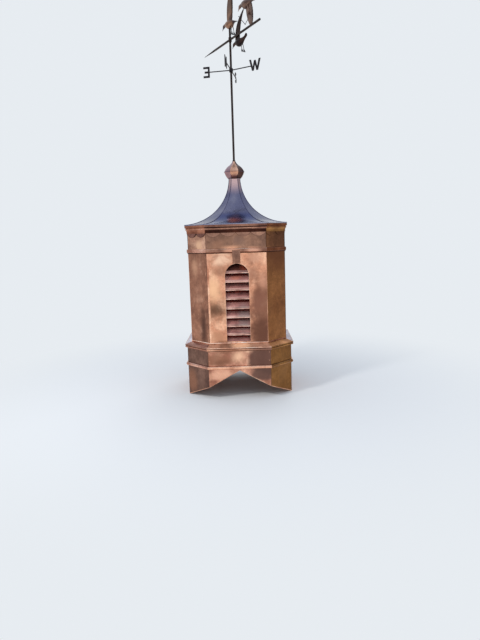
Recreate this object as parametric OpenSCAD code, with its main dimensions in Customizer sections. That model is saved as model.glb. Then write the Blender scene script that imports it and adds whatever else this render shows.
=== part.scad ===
// Copper garage cupola: an eight-sided louvered shaft on a saddle-cut base,
// under a bell roof with a finial, direction letters and a goose weather vane.
// Millimetres, +Z up. The origin is on the axis, level with the feet of the two side walls.
// The front faces -Y.

/* [Plan] */
// Width of the louvered shaft across its main faces
shaft_w = 1248; // [1180:2:1300]
// Width of each main face of the shaft
face_w = 750; // [700:2:790]
// Thickness of the copper-clad walls
wall_t = 20; // [14:1:24]

/* [Base] */
// How far the base skirt stands out from the shaft
base_out = 62; // [50:1:74]
// Height of the base skirt at its two low sides
base_h = 645; // [600:5:700]
// Rise over run of the roof that the skirt straddles
roof_slope = 0.55; // [0.4:0.01:0.6]
// Height of the bead that runs round the skirt
bead_h = 46; // [36:1:50]
// How far the bead stands out from the skirt
bead_out = 26; // [18:1:30]
// Bare copper left between the top of the saddle cut and the bead
saddle_gap = 18; // [8:1:40]
// Height of the fascia that crowns the skirt
crown_h = 34; // [26:1:44]
// How far the crown stands out from the skirt
crown_out = 30; // [24:1:36]
// Height of the cove under the crown
crown_cove = 16; // [10:1:22]
// Rise of the sloping ledge from the crown to the shaft
ledge_rise = 38; // [26:1:50]

/* [Shaft] */
// Height of the shaft walls, from the ledge to the frieze
shaft_h = 1208; // [1150:2:1300]
// Height of the bead at the foot of the shaft
foot_bead_h = 18; // [12:1:22]
// How far the foot bead stands out
foot_bead_out = 8; // [5:1:11]
// Width of the round-headed openings
open_w = 304; // [260:2:330]
// Height of the sill above the foot of the shaft
sill_up = 29; // [26:1:60]
// Height of the springing above the sill
spring_up = 842; // [800:2:860]
// Width of the folded rim round each opening
rim_w = 10; // [6:1:12]
// How far the rim stands out from the wall
rim_out = 3; // [2:0.5:5]

/* [Louvers] */
// Number of blades behind each opening
blades = 9; // [7:1:9]
// Height from one blade to the next
blade_pitch = 114; // [100:1:120]
// Height of the upright lip along a blade's front
lip_h = 34; // [20:1:44]
// Depth of a blade from front to back
blade_d = 80; // [60:1:90]
// Thickness of the blade sheet
blade_t = 3; // [2:0.5:5]
// How far the lips are set back from the face of the wall
lip_back = 26; // [25:1:34]
// Width of the stiles that carry the blades
stile_w = 18; // [12:1:24]

/* [Belt and frieze] */
// Height of the belt moulding under the frieze
belt_h = 56; // [46:1:70]
// How far the belt stands out from the wall
belt_out = 18; // [12:1:24]
// Width of the keystones at their foot
key_w = 92; // [70:1:110]
// How much wider the keystones are at their head
key_flare = 10; // [0:1:20]
// How far the keystones stand out from the wall
key_out = 28; // [22:1:36]
// Part of the belt's height that passes over the keystones
key_cap = 20; // [12:1:26]
// Height of frieze that shows between belt and cornice
frieze_h = 197; // [170:1:230]
// Scallops along each main face
scallops = 4; // [3:1:6]
// Scallops along each corner face
corner_scallops = 2; // [1:1:3]
// Depth of the scallops below the cornice
scallop_d = 48; // [36:1:60]
// Thickness of the scalloped strip
scallop_t = 3; // [2:0.5:5]

/* [Cornice] */
// Height of the bed moulding under the cornice
bed_h = 58; // [50:1:70]
// How far the bed moulding stands out from the frieze
bed_out = 24; // [18:1:28]
// Height of the crown moulding of the cornice
cornice_h = 43; // [34:1:54]
// How far the cornice stands out from the frieze
cornice_out = 33; // [29:1:42]

/* [Roof] */
// Radius of the bell curve, seen square to a main face
bell_r = 620; // [606:2:700]
// Width of the roof's neck across its main faces
neck_w = 144; // [120:2:160]
// Thickness of the roof panels
roof_t = 12; // [8:1:18]
// Height of the roof's drip edge
drip_h = 10; // [7:1:11]

/* [Finial] */
// Width of the finial across its flats
ball_w = 262; // [220:2:300]
// Height of the finial's bowl, below its seam
ball_low = 88; // [74:1:100]
// Height of the finial above its seam
ball_high = 134; // [110:1:170]
// How far the bowl of the finial laps down over the neck
ball_lap = 26; // [14:1:34]
// Height of the folded seam round the finial
seam_h = 6; // [4:1:8]
// How far the seam stands out
seam_out = 4; // [3:1:8]

/* [Mast and direction letters] */
// Diameter of the mast
mast_d = 28; // [24:1:34]
// Height of the mast from the finial to its bearing shoulder
mast_h = 1446; // [1300:2:1600]
// Height of the direction arms above the finial
arms_up = 1136; // [1000:2:1180]
// Turn of the direction arms, counter-clockwise
arms_turn = -10; // [-45:1:45]
// How far the west arm is bent out of line, towards the north arm
west_bend = 18; // [0:1:30]
// Reach of each arm from the axis to its letter
arm_reach = 285; // [240:1:320]
// Diameter of the arms
arm_d = 9; // [7:0.5:12]
// Height of the direction letters
letter_h = 130; // [110:2:160]
// Width of the strokes of the letters
stroke = 20; // [16:1:24]
// Thickness of the letters
letter_t = 4; // [3:0.5:6]

/* [Weather vane] */
// Heading of the arrow at rest, counter-clockwise from +X
vane_turn = 121.3; // [0:0.1:360]
// Reach of the arrow's point from the mast
point_reach = 712; // [600:2:714]
// Reach of the arrow's tail from the mast
tail_reach = 692; // [640:2:714]
// Diameter of the arrow's tube
arrow_d = 26; // [22:1:30]
// Diameter of the bearing spindle
spindle_d = 14; // [10:1:16]
// Height of the arrow's tube above the mast's shoulder
arrow_up = 55; // [50:1:80]
// Length of the arrow's tapered point
point_l = 300; // [160:5:340]
// Height of the post that carries the leading goose, above the arrow
post_up = 135; // [120:1:160]
// Distance of the low goose behind the mast
low_back = 186; // [176:1:200]
// How far the low goose hangs below the arrow
low_drop = 88; // [84:1:100]
// Distance of the trailing goose behind the mast
trail_back = 392; // [370:1:410]
// How far the trailing goose flies above the arrow
trail_up = 270; // [250:1:290]
// Thickness of the sheet wings
wing_t = 3; // [2:0.5:5]
// Distance between the two wings of a goose where they leave its back
wing_gap = 10; // [8:1:14]
// Span of the leading goose's raised wings
wing_l = 380; // [320:5:440]
// Diameter of the wire that stays the trailing goose
stay_d = 7; // [5:0.5:8]

/* [Hidden] */
$fn = 64;

// Depth, inside and outside a face, of the shapes that cut its mitres
reach = 150;
// Clearance between pieces that seat on each other without touching
seat = 0.3;
// Overlap that joins the lengths of a moulding at its mitres
solder = 0.1;
// Radial clearance of the vane's bearing
running = 0.05;
// Air between the turning sleeve and the fixed mast
vane_gap = 6;
// Angles of the main faces and of the corner faces about the axis
FRONT = 0;
RIGHT = 90;
BACK = 180;
LEFT = 270;
CORNERS = [45, 135, 225, 315];
SIDES = [FRONT, RIGHT, BACK, LEFT];
// Headings of the direction arms
SOUTH = 90 + arms_turn;
EAST = 180 + arms_turn;
NORTH = 270 + arms_turn;
WEST = arms_turn - west_bend;
// A mitre between two faces of an octagon grows a face by this much per unit outwards
mitre = tan(22.5);

bead_z = roof_slope * half_w(base_out) + saddle_gap;
ledge_z = base_h + crown_h;
shaft_z = ledge_z + ledge_rise;
sill_z = shaft_z + sill_up;
spring_z = sill_z + spring_up;
arch_z = spring_z + open_w / 2;
frieze_z = shaft_z + shaft_h;
belt_z = frieze_z - belt_h;
bed_z = frieze_z + frieze_h;
plate_z = bed_z + bed_h;
eave_z = plate_z + cornice_h;
// Centre of the bell curve: it stands upright where it meets the neck
bell_x = neck_w / 2 + bell_r;
bell_foot = asin((bell_x - half_w(cornice_out)) / bell_r);
bell_z = eave_z + drip_h + bell_r * cos(bell_foot);
neck_z = bell_z;
ball_z = neck_z - ball_lap;
seam_z = ball_z + ball_low;
ball_top_z = seam_z + seam_h + ball_high;
mast_top_z = ball_top_z + mast_h;
arms_z = ball_top_z + arms_up;
arrow_z = mast_top_z + arrow_up;
post_z = arrow_z + post_up;
corner_w = (shaft_w - face_w) / sqrt(2);
corner_half = (shaft_w + face_w) / 2 / sqrt(2);

// Hollow end of the arrow's tube
arrow_bore_l = 120;
arrow_wall = 3;
// Diameter of the blunt end of the arrow's point
point_tip_d = 5;
// Stations of a goose from beak to tail: distance ahead of its middle, height,
// half width and half height
GOOSE = [
    [178, -16, 2, 2],
    [160, 0, 6, 6],
    [147, 10, 12, 12],
    [128, 20, 18, 18],
    [106, 25, 17, 18],
    [84, 23, 20, 22],
    [56, 14, 31, 34],
    [26, 3, 42, 46],
    [-8, -2, 46, 50],
    [-46, -2, 40, 42],
    [-84, -2, 27, 27],
    [-118, -6, 17, 15],
    [-150, -13, 14, 7],
    [-182, -21, 16, 3]
];
GOOSE_SIDES = 16;
// The stretch of a goose's body that is its tail
TAIL_ROOT = -60;
TAIL_TIP = -182;
// Feathers along the trailing edge of a wing, and the depth of the notches between them
FEATHERS = 7;
notch = 6;
// Wings: span, chord, how far the root lies ahead of the goose's middle, how far the
// wing leans back, and how far its tip is swept back
LEAD_WINGS = [wing_l, 118, -12, 20, 30];
LOW_WINGS = [350, 86, 36, 10, 165];
TRAIL_WINGS = [trail_up / 0.92, 128, -64, 55, 0];
// How far the leading goose's wings part, and where the trailing goose's are cut off
lead_splay = 1.5;
trail_cut = 0.9;
// Legs trailed under the tail, with webbed feet
LEG_ROOT = [-62, 16, -30];
leg_l = 84;
leg_d = 8;
leg_lean = 15;
FOOT = [[-6, -4], [-6, 4], [44, 17], [38, 6], [48, 0], [38, -6], [44, -17]];
foot_t = 3;
foot_pitch = 105;
// Size of the low goose beside the others, how far it dips its beak, and how far its
// tail is lifted and spread
low_size = 0.94;
low_pitch = 3;
low_lift = 50;
low_fan = 18;
// Place of the leading goose's middle over the end of its post
lead_ahead = 10;
lead_rise = 47;
// Ends and bend of the wire stay, from the trailing goose to the low goose's wing
stay_y = (stay_d - arrow_d) / 2;
STAY = [
    [-trail_back - 54, 0, trail_up - 173],
    [-trail_back + 37, stay_y, trail_up - 209],
    [-low_back - 26, stay_y, 288 - low_drop]
];

copper = "#b87950";
copper_dark = "#8a5238";
copper_roof = "#6d6c88";
bronze = "#4d3b33";

// Distance from the axis to a main face, and half that face's width, for an octagon
// whose faces stand out from the shaft's by the given amount
function half_w(out) = shaft_w / 2 + out;
function half_face(out) = face_w / 2 + out * mitre;

module plan(out)
    polygon([
        for (side = SIDES, end = [-1, 1])
            let (x = end * half_face(out), y = -half_w(out))
                [x * cos(side) - y * sin(side), x * sin(side) + y * cos(side)]
    ]);

module band(inner, outer, z, h)
    translate([0, 0, z])
    linear_extrude(h)
    difference() {
        plan(outer);
        plan(inner);
    }

// Floor plan of the space between the mitres at the two ends of a face
module mitred_bay(dist, width)
    polygon([
        [-width / 2 + reach * mitre, reach - dist],
        [-width / 2 - reach * mitre, -reach - dist],
        [width / 2 + reach * mitre, -reach - dist],
        [width / 2 - reach * mitre, reach - dist]
    ]);

// Sweeps a section along one face, mitred at both ends.
// The section's x runs outwards from the face of the shaft, and its y upwards.
module run_along(dist, width, joint = 0)
    intersection() {
        translate([0, -dist, 0])
        rotate([90, 0, -90])
        linear_extrude(2 * width, center = true)
        children();
        linear_extrude(eave_z + bell_r)
        mitred_bay(dist, width + joint);
    }

module main_run(side, joint = 0)
    rotate(side)
    run_along(shaft_w / 2, face_w, joint)
    children();

module corner_run(side, joint = 0)
    rotate(side)
    run_along(corner_half, corner_w, joint)
    children();

// A section run round all eight faces in one piece
module moulding() {
    for (side = SIDES)
        main_run(side, solder)
        children();
    for (side = CORNERS)
        corner_run(side, solder)
        children();
}

module wall_section(out, z, h)
    translate([out - wall_t, z])
    square([wall_t, h]);

// Space under the two slopes that the base straddles
module roof_below()
    rotate([90, 0, 0])
    linear_extrude(2 * shaft_w, center = true)
    polygon([
        [-half_w(base_out), 0],
        [0, roof_slope * half_w(base_out)],
        [half_w(base_out), 0],
        [half_w(base_out), -base_h],
        [-half_w(base_out), -base_h]
    ]);

module base_gable(side)
    color(copper)
    difference() {
        main_run(side)
        wall_section(base_out, 0, base_h);
        roof_below();
    }

module base_side(side)
    color(copper)
    main_run(side)
    wall_section(base_out, 0, base_h);

module base_wall_front() base_gable(FRONT);
module base_wall_back() base_gable(BACK);
module base_wall_left() base_side(LEFT);
module base_wall_right() base_side(RIGHT);

module base_corner_panels()
    color(copper)
    difference() {
        for (side = CORNERS)
            corner_run(side)
            wall_section(base_out, 0, base_h);
        roof_below();
    }

// Points along an arc about a centre
function arc(x, y, r, from, to, steps = 8) = [
    for (k = [0:steps])
        let (a = from + k * (to - from) / steps)
            [x + r * cos(a), y + r * sin(a)]
];

// Section of a rounded bead of height h that stands out by depth
module half_round(out, z, h, depth) {
    r = (h * h / 4 + depth * depth) / (2 * depth);
    half_angle = atan2(h / 2, r - depth);
    polygon(arc(out + depth - r, z + h / 2, r, -half_angle, half_angle, 10));
}

module base_bead()
    color(copper)
    moulding()
    half_round(base_out, bead_z, bead_h, bead_out);

module base_crown()
    color(copper)
    moulding()
    polygon(concat(
        [
            [base_out - wall_t, base_h],
            [base_out - wall_t, ledge_z],
            [base_out + crown_out, ledge_z],
            [base_out + crown_out, base_h]
        ],
        arc(base_out + crown_cove, base_h - crown_cove, crown_cove - 3, 90, 180, 6),
        [
            [base_out, base_h - crown_cove],
            [base_out, base_h]
        ]
    ));

module base_ledge()
    color(copper)
    moulding()
    polygon([
        [-wall_t, ledge_z],
        [base_out + crown_out - 4, ledge_z],
        [base_out + crown_out - 4, ledge_z + 3],
        [0, shaft_z],
        [-wall_t, shaft_z]
    ]);

module foot_bead()
    color(copper)
    moulding()
    half_round(0, shaft_z, foot_bead_h, foot_bead_out);

// Outline of the round-headed opening, in the plane of its face, grown by the given amount
module arch(grow) {
    translate([0, spring_z])
    circle(open_w / 2 + grow, $fn = 96);
    translate([-open_w / 2 - grow, sill_z - grow])
    square([open_w + 2 * grow, spring_up + grow]);
}

// Extrudes an outline drawn on a main face, from one distance out of it to another
module on_face(side, from, to)
    rotate(side)
    translate([0, -shaft_w / 2 - from, 0])
    rotate([90, 0, 0])
    linear_extrude(to - from)
    children();

module shaft_wall(side)
    color(copper)
    difference() {
        union() {
            main_run(side)
            wall_section(0, shaft_z, shaft_h);
            on_face(side, -1, rim_out)
            arch(rim_w);
        }
        on_face(side, -2 * wall_t, 2 * wall_t)
        arch(0);
        on_face(side, 0, key_out)
        key_outline(seat);
    }

module shaft_wall_front() shaft_wall(FRONT);
module shaft_wall_back() shaft_wall(BACK);
module shaft_wall_left() shaft_wall(LEFT);
module shaft_wall_right() shaft_wall(RIGHT);

module shaft_corner_panels()
    color(copper)
    for (side = CORNERS)
        corner_run(side)
        wall_section(0, shaft_z, shaft_h);

// Section of one blade: an upright lip, then a slope that rises behind it
module blade_section()
    polygon([
        [0, 0],
        [0, lip_h],
        [-blade_d, blade_pitch + 6],
        [-blade_d, blade_pitch + 6 - 1.5 * blade_t],
        [-blade_t, lip_h - blade_t],
        [-blade_t, 0]
    ]);

module louvers(side) {
    stile_x = open_w / 2 + 8;
    first_z = sill_z - lip_h - 3;
    head_z = max(first_z + blades * blade_pitch + 12, arch_z + 5);
    color(copper_dark)
    rotate(side)
    translate([0, -shaft_w / 2, 0]) {
        for (k = [0:blades - 1])
            translate([0, lip_back, first_z + k * blade_pitch])
            rotate([90, 0, -90])
            linear_extrude(2 * (stile_x - seat), center = true)
            blade_section();
        for (end = [-1, 1])
            translate([end * (stile_x + stile_w / 2), 0, first_z])
            linear_extrude(head_z + stile_w - first_z)
            translate([-stile_w / 2, wall_t])
            square([stile_w, lip_back + blade_d - wall_t + 4]);
        translate([-stile_x + seat, wall_t, head_z])
        cube([2 * (stile_x - seat), lip_back + blade_d - wall_t + 4, stile_w]);
    }
}

module louvers_front() louvers(FRONT);
module louvers_back() louvers(BACK);
module louvers_left() louvers(LEFT);
module louvers_right() louvers(RIGHT);

// Outline of a keystone on its face, grown by the given amount
module key_outline(grow) {
    head_z = frieze_z - key_cap;
    foot = key_w / 2 + grow;
    head = foot + key_flare / 2;
    polygon([
        [-foot, arch_z - grow],
        [foot, arch_z - grow],
        [head, head_z + grow],
        [-head, head_z + grow]
    ]);
}

module keystones()
    color(copper)
    for (side = SIDES)
        on_face(side, seat, key_out)
        key_outline(0);

module belt_moulding()
    color(copper)
    difference() {
        moulding()
        polygon([
            [0, belt_z],
            [belt_out - 8, belt_z],
            [belt_out - 8, belt_z + 10],
            [belt_out, belt_z + 18],
            [belt_out, frieze_z - 6],
            [belt_out - 6, frieze_z],
            [0, frieze_z]
        ]);
        for (side = SIDES)
            on_face(side, -1, 2 * key_out)
            key_outline(seat);
    }

module frieze()
    color(copper)
    band(-wall_t, 0, frieze_z, plate_z - frieze_z);

// Row of scallops across a face, hanging from the underside of the cornice
module scallop_row(width, count) {
    lobe = width / count;
    arc_r = (lobe * lobe / 4 + scallop_d * scallop_d) / (2 * scallop_d);
    intersection() {
        for (k = [0:count - 1])
            translate([(k + 0.5) * lobe - width / 2, bed_z - scallop_d + arc_r])
            circle(arc_r, $fn = 96);
        translate([-width, bed_z - scallop_d])
        square([2 * width, scallop_d]);
    }
}

module scallop_strip(dist, width, count)
    intersection() {
        translate([0, -dist, 0])
        rotate([90, 0, 0])
        linear_extrude(scallop_t)
        scallop_row(width, count);
        linear_extrude(eave_z)
        mitred_bay(dist, width);
    }

module scallop_trim()
    color(copper) {
        for (side = SIDES)
            rotate(side)
            scallop_strip(shaft_w / 2, face_w, scallops);
        for (side = CORNERS)
            rotate(side)
            scallop_strip(corner_half, corner_w, corner_scallops);
    }

// A fillet at the foot, a cove that spreads out over it, and a bead on top
module cornice_bed() {
    out = bed_out - 14;
    cove_w = 11;
    cove_h = bed_h - 32;
    cove_r = (cove_w * cove_w + cove_h * cove_h) / (2 * cove_w);
    bead_r = 4.5;
    color(copper)
    moulding()
    translate([0, bed_z])
    polygon(concat(
        [[0, 0], [out, 0]],
        arc(out + cove_r, bed_h - 11 - cove_h, cove_r, 180, 180 - asin(cove_h / cove_r), 6),
        [[bed_out - bead_r, bed_h - 11]],
        arc(bed_out - bead_r, bed_h - 2 - bead_r, bead_r, -90, 90, 6),
        [[bed_out - bead_r, bed_h], [0, bed_h]]
    ));
}

// A plain fascia over a cove
module cornice_crown() {
    cove_r = 12;
    lip = 4;
    color(copper)
    moulding()
    translate([0, plate_z])
    polygon(concat(
        [[-wall_t, 0], [cornice_out - cove_r, 0]],
        arc(cornice_out, lip, cove_r, 180, 90, 6),
        [[cornice_out, cornice_h], [-wall_t, cornice_h]]
    ));
}

// Section of the bell roof's sheet, its width stretched by the given factor
module bell_section(stretch, steps = 18)
    intersection() {
        polygon(concat(
            [for (k = [0:steps])
                let (a = bell_foot + k * (90 - bell_foot) / steps)
                    [stretch * (bell_x - bell_r * sin(a)), bell_z - bell_r * cos(a)]],
            [for (k = [steps:-1:0])
                let (a = bell_foot + k * (90 - bell_foot) / steps, r = bell_r + roof_t)
                    [stretch * (bell_x - r * sin(a)), bell_z - r * cos(a)]]
        ));
        translate([0, eave_z])
        square([2 * shaft_w, 2 * bell_r]);
    }

// One panel of the roof: the bell section run along its face and cut along both hips
module gore(dist, width)
    intersection() {
        rotate([90, 0, -90])
        linear_extrude(2 * width, center = true)
        bell_section(dist / half_w(cornice_out));
        linear_extrude(neck_z + bell_r)
        polygon([[0, 0], [-width, -2 * dist], [width, -2 * dist]]);
    }

// Outline of the top of the roof's neck, grown by the given amount
module neck_plan(grow) {
    k = (neck_w / 2 + grow) / half_w(cornice_out);
    scale(k)
    plan(cornice_out);
}

module roof_gore(side)
    color(copper_roof)
    rotate(side)
    gore(half_w(cornice_out), 2 * half_face(cornice_out));

module roof_front() roof_gore(FRONT);
module roof_back() roof_gore(BACK);
module roof_left() roof_gore(LEFT);
module roof_right() roof_gore(RIGHT);

module roof_corner_gores()
    color(copper_roof)
    for (side = CORNERS)
        rotate(side)
        gore(
            (half_w(cornice_out) + half_face(cornice_out)) / sqrt(2),
            (half_w(cornice_out) - half_face(cornice_out)) * sqrt(2)
        );

// Eight-sided turning from a section of half widths across the flats
module eight_sided(points)
    rotate(22.5)
    rotate_extrude($fn = 8)
    polygon([for (p = points) [p[0] / cos(22.5), p[1]]]);

module finial_lower() {
    half = ball_w / 2;
    color(copper)
    difference() {
        translate([0, 0, ball_z])
        eight_sided([
            [0, 0],
            [half * 0.58, 0],
            [half * 0.68, ball_low * 0.13],
            [half * 0.79, ball_low * 0.34],
            [half * 0.885, ball_low * 0.58],
            [half * 0.95, ball_low * 0.80],
            [half * 0.985, ball_low],
            [half + seam_out, ball_low],
            [half + seam_out, ball_low + seam_h],
            [0, ball_low + seam_h]
        ]);
        translate([0, 0, ball_z - 1])
        linear_extrude(ball_lap + seat + 1)
        neck_plan(seat + 1);
    }
}

module finial_upper() {
    half = ball_w / 2;
    color(copper)
    translate([0, 0, seam_z + seam_h])
    eight_sided([
        [0, 0],
        [half * 0.985, 0],
        [half * 0.95, ball_high * 0.09],
        [half * 0.90, ball_high * 0.18],
        [half * 0.83, ball_high * 0.28],
        [half * 0.74, ball_high * 0.39],
        [half * 0.63, ball_high * 0.50],
        [half * 0.48, ball_high * 0.61],
        [half * 0.35, ball_high * 0.73],
        [half * 0.24, ball_high * 0.86],
        [mast_d / 2 + 8, ball_high],
        [0, ball_high]
    ]);
}

module mast() {
    foot_r = mast_d / 2 + 5;
    color(bronze) {
        translate([0, 0, ball_top_z])
        cylinder(h = 14, r = foot_r);
        translate([0, 0, ball_top_z])
        cylinder(h = mast_h, d = mast_d);
        translate([0, 0, mast_top_z - 1])
        cylinder(h = bearing_top() - mast_top_z + 1, d = spindle_d);
    }
}

// Height at which the spindle's end carries the sleeve
function bearing_top() = arrow_z + arrow_d;

module direction_arms()
    color(bronze)
    translate([0, 0, arms_z])
    difference() {
        union() {
            cylinder(h = 40, r = mast_d / 2 + 9, center = true);
            for (heading = [EAST, NORTH, SOUTH, WEST])
                rotate([0, 90, heading])
                cylinder(h = arm_reach, d = arm_d);
        }
        cylinder(h = 50, r = mast_d / 2 + seat, center = true);
    }

// Stands a flat letter at the end of an arm. Its outline starts at the arm's end, at x = 0,
// and is centred on the arm's height.
module at_arm(heading)
    color(bronze)
    translate([0, 0, arms_z])
    rotate(heading)
    translate([arm_reach, letter_t / 2, 0])
    rotate([90, 0, 0])
    linear_extrude(letter_t)
    children();

// Straight stroke between two points of a letter
module line(a, b) {
    run = b - a;
    translate(a)
    rotate(atan2(run[1], run[0]))
    translate([0, -stroke / 2])
    square([norm(run), stroke]);
}

module tab(length)
    translate([0, -arm_d / 2])
    square([length, arm_d]);

module letter_north() {
    w = 104;
    low = -letter_h / 2;
    at_arm(NORTH)
    intersection() {
        union() {
            translate([0, low])
            square([stroke, letter_h]);
            translate([w - stroke, low])
            square([stroke, letter_h]);
            line([stroke / 2 + 2, -low + 6], [w - stroke / 2 - 2, low - 6]);
        }
        translate([0, low])
        square([w, letter_h]);
    }
}

module letter_east() {
    w = 80;
    low = -letter_h / 2;
    at_arm(EAST) {
        translate([0, low])
        square([stroke, letter_h]);
        translate([0, low])
        square([w, stroke]);
        translate([0, -low - stroke])
        square([w, stroke]);
        translate([0, -stroke / 2])
        square([w * 0.8, stroke]);
    }
}

// Half of an S: a ring a little over half round, open on one side
module hook(r) {
    difference() {
        circle(r);
        circle(r - stroke);
        rotate(-62)
        square([2 * r, 2 * r]);
        translate([0, -2 * r])
        square([2 * r, 2 * r]);
    }
}

module letter_south() {
    r = letter_h / 4 + stroke / 4;
    at_arm(SOUTH) {
        translate([r, r - stroke / 2])
        hook(r);
        translate([r, stroke / 2 - r])
        rotate(180)
        hook(r);
        translate([r - 1, -stroke / 2])
        square([2, stroke]);
        tab(r);
    }
}

module letter_west() {
    w = 152;
    low = -letter_h / 2;
    at_arm(WEST)
    translate([-16, 8])
    intersection() {
        union() {
            line([8, -low + 6], [w * 0.3, low]);
            line([w * 0.3, low], [w / 2, -low - 14]);
            line([w / 2, -low - 14], [w * 0.7, low]);
            line([w * 0.7, low], [w - 8, -low + 6]);
            translate([16, -8])
            tab(stroke);
        }
        translate([-stroke, low])
        square([w + 2 * stroke, letter_h]);
    }
}

// Everything that turns is drawn with the arrow along +X and turned to its heading
module turned()
    rotate(vane_turn)
    children();

module vane_sleeve() {
    low_z = mast_top_z + vane_gap;
    hub_r = arrow_d / 2 + 8;
    color(bronze)
    turned()
    difference() {
        union() {
            translate([0, 0, low_z])
            cylinder(h = post_z - low_z, d = mast_d);
            intersection() {
                translate([0, 0, arrow_z - arrow_d])
                cylinder(h = 2 * arrow_d, r = hub_r);
                cube([2 * hub_r - 6, 4 * hub_r, 3 * post_z], center = true);
            }
        }
        translate([0, 0, low_z - 1])
        cylinder(h = bearing_top() + seat - low_z + 1, r = spindle_d / 2 + running);
    }
}

// Distance from the axis to the flats of the sleeve's hub
function hub_flat() = arrow_d / 2 + 5;

module arrow_shaft()
    color(bronze)
    turned()
    translate([0, 0, arrow_z]) {
        rotate([0, 90, 0])
        translate([0, 0, hub_flat()])
        cylinder(h = point_reach - point_l - hub_flat(), d = arrow_d);
        rotate([0, -90, 0])
        difference() {
            translate([0, 0, hub_flat()])
            cylinder(h = tail_reach - hub_flat(), d = arrow_d);
            translate([0, 0, tail_reach - arrow_bore_l])
            cylinder(h = 2 * arrow_bore_l, d = arrow_d - 2 * arrow_wall);
        }
    }

module arrow_point()
    color(bronze)
    turned()
    translate([point_reach - point_l, 0, arrow_z])
    rotate([0, 90, 0])
    cylinder(h = point_l, d1 = arrow_d, d2 = point_tip_d);

// Value of a smooth curve through a list of stations, between station i and the next
function through(list, i, t) =
    let (
        a = list[max(i - 1, 0)],
        b = list[i],
        c = list[i + 1],
        d = list[min(i + 2, len(list) - 1)]
    )
        (2 * b + (c - a) * t + (2 * a - 5 * b + 4 * c - d) * t * t
            + (3 * b - a - 3 * c + d) * t * t * t) / 2;

// A goose's body, with its tail bent up by lift and spread upright by fan
module goose_body(lift = 0, fan = 0) {
    rings = [
        for (i = [0:len(GOOSE) - 2], t = [0, 0.5])
            through(GOOSE, i, t),
        GOOSE[len(GOOSE) - 1]
    ];
    last = len(rings) - 1;
    points = [
        for (s = rings, j = [0:GOOSE_SIDES - 1])
            let (
                a = j * 360 / GOOSE_SIDES,
                back = max(0, (TAIL_ROOT - s[0]) / (TAIL_ROOT - TAIL_TIP))
            )
                [s[0], s[2] * cos(a), s[1] + lift * back * back + (s[3] + fan * back) * sin(a)]
    ];
    skin = [
        for (i = [0:last - 1], j = [0:GOOSE_SIDES - 1])
            let (
                k = (j + 1) % GOOSE_SIDES,
                a = i * GOOSE_SIDES + j,
                b = i * GOOSE_SIDES + k,
                c = a + GOOSE_SIDES,
                d = b + GOOSE_SIDES
            )
                each [[a, b, d], [a, d, c]]
    ];
    beak = [[for (j = [GOOSE_SIDES - 1:-1:0]) j]];
    tail = [[for (j = [0:GOOSE_SIDES - 1]) last * GOOSE_SIDES + j]];
    polyhedron(points = points, faces = concat(skin, beak, tail));
}

// Outline of a wing along +Y, with its leading edge towards +X and notched feathers behind
module wing_outline(shape, cut = 1) {
    span = shape[0];
    mid = function (s) shape[2] - shape[3] * s - shape[4] * pow(s, 3);
    half = function (s) shape[1] / 2 * (0.85 + 0.8 * s) * (1 - pow(s, 2.2));
    polygon(concat(
        [for (k = [0:16])
            let (s = cut * k / 16)
                [mid(s) + half(s), span * s]],
        [for (k = [FEATHERS:-1:1])
            let (s = cut * k / FEATHERS, low = cut * (k - 0.9) / FEATHERS)
                each [
                    [mid(s) - half(s), span * s],
                    [mid(low) - half(low) - notch, span * low]
                ]],
        [[mid(0) - half(0), 0]]
    ));
}

module wings(shape, up, splay = 0, cut = 1)
    for (hand = [-1, 1])
        mirror([0, hand < 0 ? 1 : 0, 0])
        translate([0, wing_gap / 2, 0])
        rotate([up * (90 - splay), 0, 0])
        linear_extrude(wing_t, center = true)
        wing_outline(shape, cut);

module legs()
    for (hand = [-1, 1])
        translate([LEG_ROOT[0], hand * LEG_ROOT[1], LEG_ROOT[2]])
        rotate([0, 180 + leg_lean, 0]) {
            cylinder(h = leg_l, d = leg_d);
            translate([0, 0, leg_l])
            rotate([0, foot_pitch + 180 - leg_lean, 0])
            linear_extrude(foot_t, center = true)
            polygon(FOOT);
        }

// Bent wire through a list of points, with a blob of solder on each
module wire(points) {
    for (k = [1:len(points) - 1])
        let (run = points[k] - points[k - 1])
            translate(points[k - 1])
            rotate([0, acos(run[2] / norm(run)), atan2(run[1], run[0])])
            cylinder(h = norm(run), d = stay_d);
    for (point = points)
        translate(point)
        sphere(d = 1.5 * stay_d);
}

module goose_lead()
    color(copper_dark)
    turned()
    difference() {
        translate([lead_ahead, 0, post_z + lead_rise]) {
            goose_body();
            wings(LEAD_WINGS, 1, splay = lead_splay);
            legs();
        }
        translate([0, 0, post_z - post_up])
        cylinder(h = post_up + seat, r = mast_d / 2 + seat);
    }

// The low goose hangs beside the arrow, its near wing against the tube
module goose_low()
    color(copper_dark)
    turned()
    translate([-low_back, -(arrow_d + wing_t + wing_gap) / 2 - seat, arrow_z - low_drop]) {
        rotate([0, low_pitch, 0])
        scale(low_size) {
            goose_body(lift = low_lift, fan = low_fan);
            legs();
        }
        wings(LOW_WINGS, 1);
    }

// The trailing goose stands on the arrow with the tips of its lowered wings,
// and a bent wire stays it to the low goose's wing
module goose_trailing() {
    color(copper_dark)
    turned()
    translate([0, 0, arrow_z])
    difference() {
        union() {
            translate([-trail_back, 0, trail_up]) {
                goose_body();
                legs();
                wings(TRAIL_WINGS, -1, cut = trail_cut);
            }
            wire(STAY);
            translate(STAY[0])
            rotate([90, 0, 0])
            cylinder(h = wing_gap, d = stay_d, center = true);
        }
        rotate([0, -90, 0])
        cylinder(h = tail_reach, d = arrow_d + 2 * seat);
    }
}

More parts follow.
